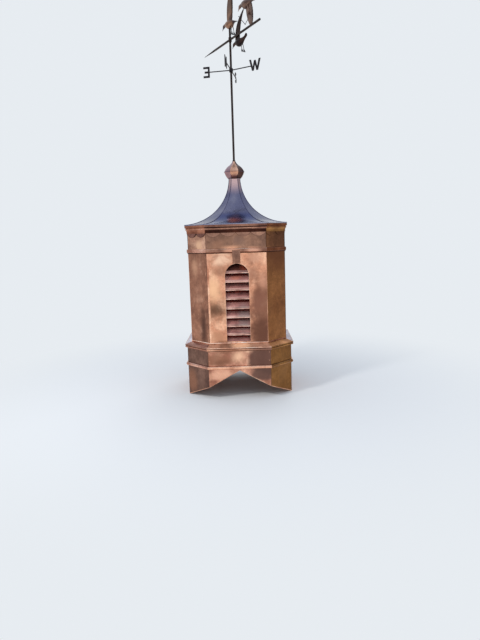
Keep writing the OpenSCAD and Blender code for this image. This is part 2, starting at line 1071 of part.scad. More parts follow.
base_wall_front();
base_wall_back();
base_wall_left();
base_wall_right();
base_corner_panels();
base_bead();
base_crown();
base_ledge();
foot_bead();
shaft_wall_front();
shaft_wall_back();
shaft_wall_left();
shaft_wall_right();
shaft_corner_panels();
louvers_front();
louvers_back();
louvers_left();
louvers_right();
keystones();
belt_moulding();
frieze();
scallop_trim();
cornice_bed();
cornice_crown();
roof_front();
roof_back();
roof_left();
roof_right();
roof_corner_gores();
finial_lower();
finial_upper();
mast();
direction_arms();
letter_north();
letter_east();
letter_south();
letter_west();
vane_sleeve();
arrow_shaft();
arrow_point();
goose_lead();
goose_low();
goose_trailing();
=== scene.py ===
import bpy
import bmesh
import math
from mathutils import Vector, Matrix, noise


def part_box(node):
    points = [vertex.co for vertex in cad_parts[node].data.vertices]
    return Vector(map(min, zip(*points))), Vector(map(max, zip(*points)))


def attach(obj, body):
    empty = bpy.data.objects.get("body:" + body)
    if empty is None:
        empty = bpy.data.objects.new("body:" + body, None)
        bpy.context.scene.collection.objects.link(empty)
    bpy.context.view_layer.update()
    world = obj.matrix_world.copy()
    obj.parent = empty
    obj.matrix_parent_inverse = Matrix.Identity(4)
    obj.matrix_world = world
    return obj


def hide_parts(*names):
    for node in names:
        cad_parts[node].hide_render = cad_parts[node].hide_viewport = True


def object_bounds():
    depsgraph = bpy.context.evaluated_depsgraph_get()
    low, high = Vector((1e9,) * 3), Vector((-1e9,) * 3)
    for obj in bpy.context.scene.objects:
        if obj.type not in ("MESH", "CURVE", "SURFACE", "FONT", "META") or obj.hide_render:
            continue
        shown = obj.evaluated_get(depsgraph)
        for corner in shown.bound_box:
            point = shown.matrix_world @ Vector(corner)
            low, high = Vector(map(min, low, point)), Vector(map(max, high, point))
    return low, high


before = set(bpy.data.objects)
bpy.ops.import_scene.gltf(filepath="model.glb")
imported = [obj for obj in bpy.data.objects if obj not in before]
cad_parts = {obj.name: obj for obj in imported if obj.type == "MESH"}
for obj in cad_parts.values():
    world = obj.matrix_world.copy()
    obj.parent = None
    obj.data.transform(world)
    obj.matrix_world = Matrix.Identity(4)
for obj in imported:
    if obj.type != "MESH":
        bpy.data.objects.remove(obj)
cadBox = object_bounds()
scene = bpy.context.scene
scene.view_settings.view_transform = "Standard"

tau = 2 * math.pi
mitre = math.tan(math.radians(22.5))
white = (1, 1, 1, 1)

# The whole cupola's own sizes, in metres, as the solids have them
cupola = {
    "shaftHalf": 0.624,      # axis to a main face
    "faceHalf": 0.375,       # half the width of a main face
    "baseOut": 0.062,        # how far the skirt stands out from the shaft
    "baseHeight": 0.645,
    "ledgeHeight": 0.679,
    "shaftHeight": 0.717,    # height at which the shaft starts
    "sillHeight": 0.746,
    "springHeight": 1.588,
    "openingHalf": 0.152,
    "beltHeight": 1.869,
    "friezeHeight": 1.925,
    "bedHeight": 2.122,
    "plateHeight": 2.180,
    "eaveHeight": 2.223,
    "saddleSlope": 0.55,     # rise of the saddle cut towards the middle
}
shaftHalf, faceHalf, baseOut = cupola["shaftHalf"], cupola["faceHalf"], cupola["baseOut"]
cornerOut = (shaftHalf + faceHalf) / math.sqrt(2)    # axis to a corner panel
cornerHalf = (shaftHalf - faceHalf) / math.sqrt(2)   # half the width of a corner panel


def tone(red, green, blue):
    # a display colour from 0 to 255 as Blender's linear colour
    def linear(c):
        c /= 255
        return c / 12.92 if c < 0.04045 else ((c + 0.055) / 1.055) ** 2.4
    return (linear(red), linear(green), linear(blue), 1.0)


def softStep(low, high, value):
    t = min(1.0, max(0.0, (value - low) / (high - low)))
    return t * t * (3 - 2 * t)


def wobble(x, y, z):
    # smooth noise at a place, between -1 and 1
    return noise.noise(Vector((x, y, z)))


def turned(x, y, angle):
    # a point turned about the axis
    return x * math.cos(angle) - y * math.sin(angle), x * math.sin(angle) + y * math.cos(angle)


def newObject(name, data):
    thing = bpy.data.objects.new(name, data)
    scene.collection.objects.link(thing)
    return thing


stage = {
    "eye": (0.0785, -6.9038, 2.077),
    "lens": 28.125,
    "sensor": 36,
    "view": (0.5223, 9.5359, -1.7758),         # degrees to the left, downwards and of roll
    "floorHalf": 60,
    "floorDrop": 0.0005,                       # gap that keeps the floor clear of the feet
    "floorColour": (0.66, 0.68, 0.70, 1.0),
    "floorMirrored": (1.0, 0.965, 0.93, 1.0),  # the floor as the metal mirrors it
    "floorFade": (1.2, 4.5),                   # distances over which the floor melts into the backdrop
    "backColour": (0.80, 0.84, 0.88, 1.0),
    "sides": [(0.0, 0.66), (0.36, 0.98), (0.5, 1.04), (0.64, 0.92), (1.0, 0.46)],  # the room from left to right
    "behind": 0.70,                            # how much light the room's far side gives
    "above": (0.80, 0.88, 1.0, 1.0),
    "below": (0.72, 0.70, 0.68, 1.0),
    # each lamp: name, place, height it aims at, width, power and colour
    "lamps": [
        ("keyLamp", (-4.2, -4.0, 5.4), 1.6, 0.8, 230, (1.0, 0.97, 0.93)),
        ("fillLamp", (4.5, -3.5, 3.5), 1.6, 3.5, 30, (0.95, 0.97, 1.0)),
        ("backLamp", (2.0, 5.5, 5.5), 1.8, 3.5, 110, (1.0, 0.98, 0.95))],
}


def setUpCamera():
    data = bpy.data.cameras.new("photoCamera")
    data.lens, data.sensor_width = stage["lens"], stage["sensor"]
    data.clip_start, data.clip_end = 0.05, 200
    camera = newObject("photoCamera", data)
    yaw, pitch, roll = (math.radians(angle) for angle in stage["view"])
    forward = Vector((-math.sin(yaw) * math.cos(pitch), math.cos(yaw) * math.cos(pitch), -math.sin(pitch)))
    right = Vector((math.cos(yaw), math.sin(yaw), 0))
    up = right.cross(forward)
    rolledRight = right * math.cos(roll) + up * math.sin(roll)
    rolledUp = -right * math.sin(roll) + up * math.cos(roll)
    turn = Matrix((rolledRight, rolledUp, -forward)).transposed()
    camera.matrix_world = Matrix.Translation(Vector(stage["eye"])) @ turn.to_4x4()
    scene.camera = camera


def put(tree, kind, values=None, **settings):
    # one node: its settings, then its inputs, each a plain value or another node's output
    node = tree.nodes.new(kind)
    for key, value in settings.items():
        setattr(node, key, value)
    for key, value in (values or {}).items():
        socket = node.inputs[key]
        if isinstance(value, bpy.types.NodeSocket):
            tree.links.new(value, socket)
        else:
            socket.default_value = value
    return node


def reckon(tree, operation, a, b=0.0, c=0.0):
    return put(tree, "ShaderNodeMath", {0: a, 1: b, 2: c}, operation=operation).outputs[0]


def reckonVector(tree, operation, a, b=(0, 0, 0)):
    return put(tree, "ShaderNodeVectorMath", {0: a, 1: b}, operation=operation).outputs


def vectorOf(tree, **parts):
    return put(tree, "ShaderNodeCombineXYZ", parts).outputs[0]


def mixColour(tree, factor, a, b, blend="MIX"):
    return put(tree, "ShaderNodeMix", {0: factor, 6: a, 7: b}, data_type="RGBA", blend_type=blend).outputs[2]


def mixValue(tree, factor, a, b):
    return put(tree, "ShaderNodeMix", {0: factor, 2: a, 3: b}).outputs[0]


def spread(tree, value, low, high, toLow=0.0, toHigh=1.0):
    # a range stretched smoothly over another
    return put(tree, "ShaderNodeMapRange", {
        "Value": value, "From Min": low, "From Max": high, "To Min": toLow, "To Max": toHigh},
        interpolation_type="SMOOTHSTEP").outputs["Result"]


def noiseAt(tree, where, scale, detail=2.0, roughness=0.5, distortion=0.0):
    return put(tree, "ShaderNodeTexNoise", {
        "Vector": where, "Scale": scale, "Detail": detail, "Roughness": roughness,
        "Distortion": distortion}).outputs["Fac"]


def greyRamp(tree, factor, stops):
    node = put(tree, "ShaderNodeValToRGB", {"Fac": factor})
    node.color_ramp.interpolation = "EASE"
    while len(node.color_ramp.elements) < len(stops):
        node.color_ramp.elements.new(0.5)
    for element, (place, grey) in zip(node.color_ramp.elements, stops):
        element.position = place
        element.color = (grey, grey, grey, 1)
    return node.outputs["Color"]


def setUpWorld():
    world = bpy.data.worlds.new("studio")
    scene.world = world
    world.use_nodes = True
    tree = world.node_tree
    tree.nodes.clear()
    way = put(tree, "ShaderNodeTexCoord").outputs["Generated"]
    parts = put(tree, "ShaderNodeSeparateXYZ", {"Vector": way}).outputs
    sides = greyRamp(tree, reckon(tree, "MULTIPLY_ADD", parts["X"], 0.5, 0.5), stage["sides"])
    behind = spread(tree, parts["Y"], 0.1, 1.0, 1.0, stage["behind"])
    room = mixColour(tree, 1.0, sides, behind, "MULTIPLY")
    room = mixColour(tree, spread(tree, parts["Z"], 0.15, 0.9), room, stage["above"])
    room = mixColour(tree, spread(tree, parts["Z"], -0.1, -0.9), room, stage["below"])
    seen = put(tree, "ShaderNodeLightPath").outputs["Is Camera Ray"]
    shown = mixColour(tree, seen, room, stage["backColour"])
    shade = put(tree, "ShaderNodeBackground", {"Color": shown, "Strength": 1.0})
    put(tree, "ShaderNodeOutputWorld", {"Surface": shade.outputs[0]})


def addLamp(name, place, aimHeight, size, power, colour):
    data = bpy.data.lights.new(name, "AREA")
    data.shape = "RECTANGLE"
    data.size = data.size_y = size
    data.energy, data.color = power, colour
    lamp = newObject(name, data)
    lamp.visible_glossy = False
    lamp.location = place
    lamp.rotation_euler = (Vector((0, 0, aimHeight)) - Vector(place)).to_track_quat("-Z", "Y").to_euler()


def setUpFloor():
    half = stage["floorHalf"]
    floor = newObject("studioFloor", bpy.data.meshes.new("studioFloor"))
    corners = [(-half, -half, 0), (half, -half, 0), (half, half, 0), (-half, half, 0)]
    floor.data.from_pydata(corners, [], [(0, 1, 2, 3)])
    floor.location.z = cadBox[0].z - stage["floorDrop"]
    material = bpy.data.materials.new("studioFloor")
    material.use_nodes = True
    tree = material.node_tree
    shader = tree.nodes["Principled BSDF"]
    for label, value in (("Base Color", stage["floorColour"]), ("Roughness", 0.9), ("Specular IOR Level", 0.1)):
        shader.inputs[label].default_value = value
    far = reckonVector(tree, "LENGTH", put(tree, "ShaderNodeTexCoord").outputs["Object"])["Value"]
    path = put(tree, "ShaderNodeLightPath").outputs
    fade = reckon(tree, "MULTIPLY", spread(tree, far, *stage["floorFade"]), path["Is Camera Ray"])
    backdrop = put(tree, "ShaderNodeEmission", {"Color": stage["backColour"]}).outputs[0]
    mirrored = put(tree, "ShaderNodeEmission", {"Color": stage["floorMirrored"]}).outputs[0]
    shown = put(tree, "ShaderNodeMixShader", {0: fade, 1: shader.outputs[0], 2: backdrop}).outputs[0]
    whole = put(tree, "ShaderNodeMixShader", {0: path["Is Glossy Ray"], 1: shown, 2: mirrored}).outputs[0]
    tree.links.new(whole, tree.nodes["Material Output"].inputs["Surface"])
    floor.data.materials.append(material)


setUpCamera()
setUpWorld()
setUpFloor()
for lamp in stage["lamps"]:
    addLamp(*lamp)
print("stage ready")


def newGroup(name, kind, inputs, outputs):
    # an empty node group with its named inputs and outputs
    group = bpy.data.node_groups.new(name, kind)
    for label, sort, value in inputs:
        socket = group.interface.new_socket(label, in_out="INPUT", socket_type="NodeSocket" + sort)
        if value is not None:
            socket.default_value = value
    for label, sort in outputs:
        group.interface.new_socket(label, in_out="OUTPUT", socket_type="NodeSocket" + sort)
    return group, group.nodes.new("NodeGroupInput").outputs


# What a finish may set, and what it has if it doesn't
sheetInputs = [
    ("Light", "Color", white), ("Middle", "Color", white), ("Dark", "Color", white), ("Cloud Scale", "Float", 2.2),
    ("Run Scale", "Float", 7.0), ("Runs", "Float", 0.4), ("Balance", "Float", 0.0), ("Mottle", "Float", 0.12),
    ("Fleck", "Float", 0.1), ("Scuffs", "Float", 0.0), ("Gloss", "Float", 0.26), ("Dull", "Float", 0.44),
    ("Grain", "Vector", (1, 1, 1))]
patchInputs = [
    ("Colour", "Color", white), ("Middle", "Vector", (0, 0, 0)), ("Reach", "Vector", (1, 1, 1)),
    ("Patch", "Color", white), ("Strength", "Float", 1.0), ("Ragged", "Float", 0.3), ("Core", "Float", 0.35)]


def varied(tree, colour, pattern, low, high, amount, gain):
    # darkens and lightens a colour by a pattern
    least = reckon(tree, "SUBTRACT", 1.0, amount)
    most = reckon(tree, "MULTIPLY_ADD", amount, gain, 1.0)
    return mixColour(tree, 1.0, colour, spread(tree, pattern, low, high, least, most), "MULTIPLY")


def sheetWearAndReflections():
    # mottling, runs and handling marks of sheet metal, with broad clouds of painted reflection between its light,
    # middle and dark tones, shared by every finish
    group, given = newGroup("sheetWearAndReflections", "ShaderNodeTree", sheetInputs, [
        ("Colour", "Color"), ("Roughness", "Float"), ("Height", "Float")])
    where = put(group, "ShaderNodeTexCoord").outputs["Object"]
    along = reckonVector(group, "MULTIPLY", where, given["Grain"])[0]
    tall = reckonVector(group, "MULTIPLY", where, (1.0, 1.0, 0.16))[0]
    streaked = reckonVector(group, "MULTIPLY", where, (1.0, 1.0, 0.3))[0]
    # broad clouds between the dark, middle and light tones: painted reflections on the metal, mixed with its own
    # mottling
    cloud = noiseAt(group, along, given["Cloud Scale"], 4.0, 0.52, 0.35)
    runs = noiseAt(group, tall, given["Run Scale"], 5.0, 0.6)    # where water ran down
    blend = reckon(group, "ADD", mixValue(group, given["Runs"], cloud, runs), given["Balance"])
    colour = mixColour(group, spread(group, blend, 0.36, 0.52), given["Dark"], given["Middle"])
    colour = mixColour(group, spread(group, blend, 0.50, 0.66), colour, given["Light"])
    fine = noiseAt(group, where, 46.0, 3.0)                      # flecks of a few millimetres
    colour = varied(group, colour, fine, 0.30, 0.70, given["Fleck"], 0.8)
    blotch = noiseAt(group, along, 15.0, 2.5, distortion=0.5)    # mottling of a few centimetres
    colour = varied(group, colour, blotch, 0.34, 0.66, given["Mottle"], 0.6)
    scuff = spread(group, noiseAt(group, streaked, 30.0), 0.64, 0.70)
    rubbed = spread(group, noiseAt(group, where, 3.3, 1.0), 0.46, 0.56)    # where hands and tools rubbed
    scuff = reckon(group, "MULTIPLY", reckon(group, "MULTIPLY", scuff, rubbed), given["Scuffs"])
    colour = mixColour(group, scuff, colour, given["Light"])
    rough = mixValue(group, spread(group, runs, 0.35, 0.68), given["Gloss"], given["Dull"])
    height = reckon(group, "MULTIPLY_ADD", fine, 0.05, noiseAt(group, where, 5.5))
    put(group, "NodeGroupOutput", {"Colour": colour, "Roughness": rough, "Height": height})
    return group


def softPatch():
    # a soft-edged ellipsoid laid into a finish's colour, mostly as painted highlight, painted shade or painted
    # reflection
    group, given = newGroup("softPatch", "ShaderNodeTree", patchInputs, [("Colour", "Color")])
    where = put(group, "ShaderNodeTexCoord").outputs["Object"]
    gap = reckonVector(group, "SUBTRACT", where, given["Middle"])[0]
    far = reckonVector(group, "LENGTH", reckonVector(group, "DIVIDE", gap, given["Reach"])[0])["Value"]
    broken = reckon(group, "SUBTRACT", noiseAt(group, where, 5.5, 6.0, 0.6, 0.4), 0.5)
    broken = reckon(group, "MULTIPLY", broken, reckon(group, "MULTIPLY", given["Ragged"], 2.0))
    mask = spread(group, reckon(group, "ADD", far, broken), 1.0, given["Core"])
    mask = reckon(group, "MULTIPLY", mask, given["Strength"])
    put(group, "NodeGroupOutput", {"Colour": mixColour(group, mask, given["Colour"], given["Patch"])})
    return group


wearAndReflections = sheetWearAndReflections()
patching = softPatch()


def makeMetal(name, look):
    material = bpy.data.materials.new(name)
    material.use_nodes = True
    tree = material.node_tree
    shader = tree.nodes["Principled BSDF"]
    shader.inputs["Metallic"].default_value = look.get("metallic", 1.0)
    values = {label: tone(*shade) for label, shade in zip(("Light", "Middle", "Dark"), look["tones"])}
    for label, _, usual in sheetInputs[3:]:
        key = label[0].lower() + label[1:].replace(" ", "")
        values[label] = look.get(key, usual)
    worn = put(tree, "ShaderNodeGroup", values, node_tree=wearAndReflections)
    colour = worn.outputs["Colour"]
    for middle, reach, shade, *rest in look.get("patches", []):
        values = dict(zip(("Strength", "Ragged", "Core"), rest), Colour=colour, Middle=middle, Reach=reach,
                      Patch=tone(*shade))
        colour = put(tree, "ShaderNodeGroup", values, node_tree=patching).outputs["Colour"]
    tree.links.new(colour, shader.inputs["Base Color"])
    tree.links.new(worn.outputs["Roughness"], shader.inputs["Roughness"])
    bump = put(tree, "ShaderNodeBump", {"Strength": look.get("bump", 0.25), "Distance": 0.01,
                                        "Height": worn.outputs["Height"]})
    tree.links.new(bump.outputs["Normal"], shader.inputs["Normal"])
    return material


# Every finish: its light, middle and dark tone, what differs from the usual sheet, and its patches. A patch is
# its middle, its reach, its colour, then how strong, how ragged and how wide at the core it is.
finishes = {
    "shaft": {
        "tones": [(250, 199, 168), (217, 158, 129), (162, 112, 91)], "runs": 0.25, "scuffs": 0.7, "cloudScale": 5.2,
        "mottle": 0.13, "balance": 0.02,
        # painted light on the front wall: painted highlights high up and on the left, painted shade in patches lower
        # down and across the right
        "patches": [
            ((-0.2, -0.63, 1.8), (0.19, 0.12, 0.11), (255, 216, 188), 0.85, 1.0, 0.05),
            ((-0.21, -0.63, 1.64), (0.13, 0.12, 0.11), (164, 118, 96), 0.75, 0.8, 0.1),
            ((-0.3, -0.63, 1.42), (0.14, 0.12, 0.26), (255, 206, 166), 0.85, 0.6, 0.2),
            ((-0.25, -0.63, 1.15), (0.26, 0.14, 0.18), (98, 71, 56), 0.88, 0.7, 0.0),
            ((-0.28, -0.63, 0.81), (0.19, 0.12, 0.13), (200, 148, 119), 0.85, 0.6, 0.2),
            ((0.31, -0.63, 1.18), (0.17, 0.12, 0.56), (128, 88, 73), 0.85, 0.7, 0.4),
            ((0.26, -0.63, 1.8), (0.17, 0.12, 0.12), (214, 164, 139), 0.8, 1.0, 0.05),
            ((0.2, -0.63, 1.6), (0.11, 0.12, 0.14), (166, 116, 96), 0.75, 0.8, 0.1),
            ((0.32, -0.63, 1.5), (0.08, 0.12, 0.16), (222, 166, 140), 0.6, 0.7, 0.1),
            ((0.26, -0.63, 1.24), (0.15, 0.12, 0.17), (142, 98, 83), 0.7, 0.8, 0.1),
            ((0.27, -0.63, 0.86), (0.2, 0.12, 0.3), (106, 72, 60), 0.88, 0.6, 0.3),
            ((-0.2, -0.63, 0.732), (0.16, 0.12, 0.04), (146, 102, 80), 0.75, 0.3, 0.2)]},
    "cornerPanel": {
        "tones": [(197, 151, 129), (162, 116, 96), (121, 83, 71)], "scuffs": 0.7, "cloudScale": 4.2, "runs": 0.35,
        "mottle": 0.14,
        "patches": [
            ((-0.45, -0.55, 0.94), (0.11, 0.11, 0.44), (82, 55, 48), 0.9, 0.5, 0.1),
            ((-0.54, -0.46, 1.7), (0.1, 0.1, 0.16), (214, 166, 138), 0.7, 0.6, 0.1)]},
    # the corner panels' colour in painted shade, for the two corners that take it, deepest near the top
    "cornerInShade": {
        "tones": [(164, 114, 73), (138, 93, 58), (110, 70, 44)], "scuffs": 0.7, "cloudScale": 1.2, "runs": 0.15,
        "patches": [
            ((0.5, -0.5, 1.84), (0.5, 0.5, 0.34), (104, 64, 44), 0.85, 0.3, 0.1)]},
    "base": {
        "tones": [(237, 190, 164), (210, 154, 132), (164, 113, 95)], "scuffs": 0.7, "cloudScale": 4.2, "runs": 0.1,
        "mottle": 0.14,
        # painted light on the skirt's front: painted highlights low on the left and in the middle, painted shade
        # across the right and in patches along the top left
        "patches": [
            ((0.44, -0.7, 0.54), (0.39, 0.3, 0.25), (102, 75, 68), 0.95, 0.2, 0.75),
            ((-0.21, -0.7, 0.62), (0.17, 0.2, 0.05), (138, 98, 80), 0.7, 0.4, 0.2),
            ((0.32, -0.7, 0.33), (0.23, 0.3, 0.13), (100, 77, 71), 0.92, 0.4, 0.5),
            ((-0.3, -0.7, 0.52), (0.24, 0.2, 0.1), (150, 106, 86), 0.85, 0.5, 0.5),
            ((-0.22, -0.7, 0.32), (0.22, 0.2, 0.09), (240, 190, 163), 0.7, 0.6, 0.2),
            ((0.0, -0.7, 0.56), (0.15, 0.14, 0.12), (255, 210, 178), 0.8, 0.7, 0.1),
            ((-0.26, -0.7, 0.49), (0.16, 0.14, 0.06), (124, 86, 70), 0.6, 0.8, 0.1)]},
    "baseCorner": {
        "tones": [(132, 102, 91), (110, 83, 74), (86, 63, 59)], "scuffs": 0.7, "cloudScale": 3.2, "mottle": 0.14,
        "patches": [
            ((-0.64, -0.44, 0.2), (0.15, 0.15, 0.22), (152, 106, 84), 0.6)]},
    # the skirt's corner panels in painted shade, for the two corners that take it
    "baseInShade": {
        "tones": [(136, 97, 58), (118, 81, 44), (94, 63, 36)], "scuffs": 0.7, "cloudScale": 1.6, "runs": 0.15},
    "louver": {
        "tones": [(222, 178, 166), (184, 140, 130), (134, 98, 92)], "cloudScale": 7.5, "gloss": 0.34, "dull": 0.5,
        "metallic": 0.4, "mottle": 0.14, "fleck": 0.05, "grain": (0.35, 0.35, 2.4),
        # a greyer painted reflection across the lower right of the lips
        "patches": [
            ((0.08, -0.6, 1.04), (0.12, 0.12, 0.26), (146, 132, 126), 0.7, 0.6, 0.3)]},
    "louverSlope": {
        "tones": [(206, 148, 136), (174, 116, 108), (122, 76, 72)], "cloudScale": 6.0, "gloss": 0.34, "dull": 0.5,
        "metallic": 0.4, "mottle": 0.14, "fleck": 0.05, "grain": (0.35, 0.35, 2.4),
        # a greyer painted reflection on the lower right, as on the lips, and a redder patch near the top
        "patches": [
            ((0.08, -0.57, 1.04), (0.12, 0.12, 0.26), (134, 116, 112), 0.7, 0.6, 0.3),
            ((-0.01, -0.57, 1.56), (0.1, 0.12, 0.07), (206, 118, 92), 0.6, 0.5, 0.2)]},
    # painted shade on the blade in the arch's head, redder on its right
    "louverHead": {
        "tones": [(116, 62, 48), (82, 44, 36), (54, 30, 26)], "cloudScale": 6.0, "gloss": 0.5, "dull": 0.6,
        "metallic": 0.2,
        "patches": [
            ((0.09, -0.56, 1.7), (0.08, 0.12, 0.07), (176, 84, 62), 0.8, 0.4, 0.2)]},
    # a painted highlight along the foot of each lip
    "louverHem": {
        "tones": [(255, 220, 202), (226, 178, 160), (176, 128, 112)], "cloudScale": 9.0, "gloss": 0.3, "dull": 0.45,
        "metallic": 0.5},
    # painted shade: under each lip, up the slope behind the blade above, and on the stiles
    "louverDeep": {
        "tones": [(158, 62, 48), (118, 42, 34), (78, 26, 22)], "cloudScale": 6.0, "gloss": 0.5, "dull": 0.6,
        "metallic": 0.2},
    "moulding": {
        "tones": [(255, 212, 184), (232, 178, 150), (186, 130, 106)], "cloudScale": 3.6, "gloss": 0.2, "dull": 0.34,
        "runs": 0.15,
        # painted shade across the right of the skirt's crown at the front, and a milder painted shade on its left
        "patches": [
            ((0.34, -0.72, 0.66), (0.3, 0.2, 0.07), (134, 98, 88), 0.85, 0.2, 0.5),
            ((-0.24, -0.72, 0.66), (0.16, 0.2, 0.06), (178, 130, 108), 0.7, 0.3, 0.2)]},
    # the mouldings on the two corners painted in shade
    "mouldingInShade": {
        "tones": [(162, 117, 70), (132, 92, 56), (99, 65, 41)], "cloudScale": 3.0, "gloss": 0.24, "dull": 0.36,
        "runs": 0.15},
    "mouldingMauve": {
        "tones": [(234, 190, 172), (202, 152, 134), (160, 112, 96)], "cloudScale": 3.6, "gloss": 0.24, "dull": 0.36,
        "runs": 0.15},
    # painted shade under beads, in bands of the mouldings and along some scallops; also the dark open joints beside
    # the laps and up the frieze
    "mouldingDark": {
        "tones": [(96, 56, 44), (68, 38, 30), (46, 26, 24)], "cloudScale": 3.6, "gloss": 0.34, "dull": 0.5,
        "runs": 0.15},
    # a painted highlight along bright edges and beads
    "edgeLight": {
        "tones": [(255, 236, 222), (255, 216, 194), (230, 176, 150)], "cloudScale": 4.0, "gloss": 0.16,
        "dull": 0.26, "runs": 0.1},
    "cornice": {
        "tones": [(184, 142, 124), (150, 110, 94), (112, 78, 68)], "cloudScale": 3.6, "gloss": 0.2, "dull": 0.34,
        "runs": 0.15,
        # painted highlights along the top of the belt at the front
        "patches": [
            ((-0.06, -0.64, 1.902), (0.15, 0.1, 0.04), (226, 170, 144), 0.75, 0.3, 0.2),
            ((0.21, -0.64, 1.9), (0.13, 0.1, 0.04), (232, 178, 154), 0.8, 0.3, 0.2)]},
    # the belt and cornice crown on the two corners painted in shade
    "corniceInShade": {
        "tones": [(142, 90, 62), (116, 70, 48), (86, 50, 36)], "cloudScale": 3.0, "gloss": 0.24, "dull": 0.36,
        "runs": 0.15},
    "corniceOrange": {
        "tones": [(192, 138, 115), (165, 110, 88), (128, 79, 62)], "cloudScale": 3.6, "gloss": 0.24, "dull": 0.36,
        "runs": 0.15},
    "ledge": {
        "tones": [(202, 154, 126), (176, 127, 102), (146, 102, 80)], "cloudScale": 3.6, "gloss": 0.5, "dull": 0.65,
        "metallic": 0.3, "bump": 0.1,
        # a painted highlight on the middle of the front ledge
        "patches": [
            ((0.02, -0.66, 0.7), (0.17, 0.12, 0.08), (248, 192, 152), 0.85, 0.3, 0.3)]},
    # the ledge on the two corners painted in shade
    "ledgeInShade": {
        "tones": [(196, 138, 90), (168, 114, 70), (136, 88, 54)], "cloudScale": 3.0, "gloss": 0.5, "dull": 0.65,
        "metallic": 0.2, "bump": 0.1},
    # the side ledges painted pale with a painted reflection
    "ledgePaleReflection": {
        "tones": [(222, 218, 226), (202, 196, 206), (176, 166, 174)], "cloudScale": 3.6, "gloss": 0.45, "dull": 0.6,
        "metallic": 0.3, "bump": 0.1},
    "frieze": {
        "tones": [(174, 137, 118), (154, 117, 99), (124, 94, 81)], "cloudScale": 3.8, "runs": 0.15,
        # painted highlights along the frieze's foot above the belt, with darker patches to the left and above the
        # middle
        "patches": [
            ((-0.23, -0.63, 1.96), (0.12, 0.1, 0.1), (164, 122, 101), 0.7, 0.2, 0.3),
            ((-0.07, -0.63, 1.925), (0.15, 0.1, 0.055), (236, 178, 146), 0.85, 0.5, 0.05),
            ((0.21, -0.63, 1.92), (0.13, 0.1, 0.045), (226, 168, 140), 0.75, 0.5, 0.05),
            ((0.03, -0.63, 2.03), (0.12, 0.1, 0.08), (128, 100, 90), 0.7, 0.5, 0.05)]},
    # the frieze and scallops on the two corners painted in shade
    "friezeInShade": {"tones": [(136, 94, 67), (115, 77, 55), (93, 61, 45)], "cloudScale": 2.0, "runs": 0.1},
    "friezeBright": {
        "tones": [(226, 182, 158), (196, 150, 128), (156, 116, 100)], "cloudScale": 3.6, "runs": 0.15,
        # a painted highlight on the front-left corner's frieze
        "patches": [
            ((-0.47, -0.53, 1.98), (0.09, 0.09, 0.09), (250, 206, 172), 0.8, 0.6, 0.05)]},
    "scallop": {"tones": [(184, 142, 120), (156, 118, 102), (124, 92, 80)], "cloudScale": 3.0, "runs": 0.15},
    "scallopMauve": {"tones": [(176, 130, 116), (148, 106, 96), (116, 80, 74)], "cloudScale": 3.0, "runs": 0.15},
    "keystone": {
        "tones": [(176, 136, 116), (136, 100, 86), (96, 70, 62)], "cloudScale": 5.0, "gloss": 0.2, "dull": 0.34},
    # the roof's copper painted blue-violet, a painted reflection of the sky over it. Its patches are painted
    # reflections and highlights: a pinker neck, a darker front, a paler sheen round the eave, the finial's reflection
    # in red with a dark edge beside it at the foot of the front gore, and a white highlight at the right-front eave
    "roof": {
        "tones": [(129, 127, 144), (99, 99, 124), (72, 75, 104)], "cloudScale": 1.6, "gloss": 0.16, "dull": 0.24,
        "fleck": 0.03, "bump": 0.06, "runs": 0.1, "mottle": 0.05, "metallic": 0.85,
        "patches": [
            ((0.0, 0.0, 2.86), (0.22, 0.22, 0.32), (198, 168, 168), 0.9, 0.05),
            ((0.0, -0.46, 2.31), (0.62, 0.36, 0.12), (46, 56, 106), 0.75, 0.25, 0.4),
            ((0.0, 0.0, 2.235), (1.6, 1.6, 0.034), (176, 188, 218), 0.45, 0.25, 0.1),
            ((0.1, -0.49, 2.27), (0.08, 0.2, 0.06), (66, 54, 88), 0.5, 0.3, 0.2),
            ((-0.04, -0.49, 2.28), (0.085, 0.17, 0.075), (240, 144, 108), 0.5, 0.3, 0.25),
            ((0.03, -0.49, 2.28), (0.09, 0.17, 0.07), (196, 106, 88), 0.45, 0.3, 0.1),
            ((0.56, -0.56, 2.24), (0.36, 0.36, 0.1), (226, 228, 236), 0.6, 0.15, 0.0)]},
    # the hip seams in a darker copy of the roof's painted blue-violet reflection
    "roofSeam": {
        "tones": [(104, 100, 132), (78, 76, 104), (54, 52, 76)], "cloudScale": 1.6, "gloss": 0.16, "dull": 0.26,
        "fleck": 0.03, "bump": 0.06, "runs": 0.1},
    # the finial's facets as painted light and shade: bright, olive in shade, and mauve
    "finial": {
        "tones": [(236, 190, 164), (200, 152, 128), (160, 118, 98)], "cloudScale": 5.0, "gloss": 0.24, "dull": 0.34,
        "fleck": 0.03, "bump": 0.08},
    "finialInShade": {
        "tones": [(100, 74, 65), (75, 53, 50), (56, 40, 40)], "cloudScale": 5.0, "gloss": 0.16, "dull": 0.26,
        "fleck": 0.03, "bump": 0.08},
    "finialMauve": {
        "tones": [(184, 152, 154), (150, 120, 126), (112, 88, 96)], "cloudScale": 5.0, "gloss": 0.16, "dull": 0.26,
        "fleck": 0.03, "bump": 0.08},
    "bronze": {
        "tones": [(74, 62, 58), (52, 42, 40), (40, 33, 33)], "cloudScale": 5.0, "metallic": 0.85, "gloss": 0.34,
        "dull": 0.5, "bump": 0.05, "mottle": 0.05, "fleck": 0.02},
    "bronzeDark": {
        "tones": [(46, 40, 44), (32, 28, 34), (26, 23, 28)], "cloudScale": 5.0, "metallic": 0.6, "gloss": 0.4,
        "dull": 0.55, "bump": 0.05, "mottle": 0.05, "fleck": 0.02},
    "gooseLeading": {
        "tones": [(190, 148, 120), (136, 104, 86), (86, 66, 60)], "cloudScale": 9.0, "gloss": 0.28, "dull": 0.46,
        "metallic": 0.9,
        "patches": [
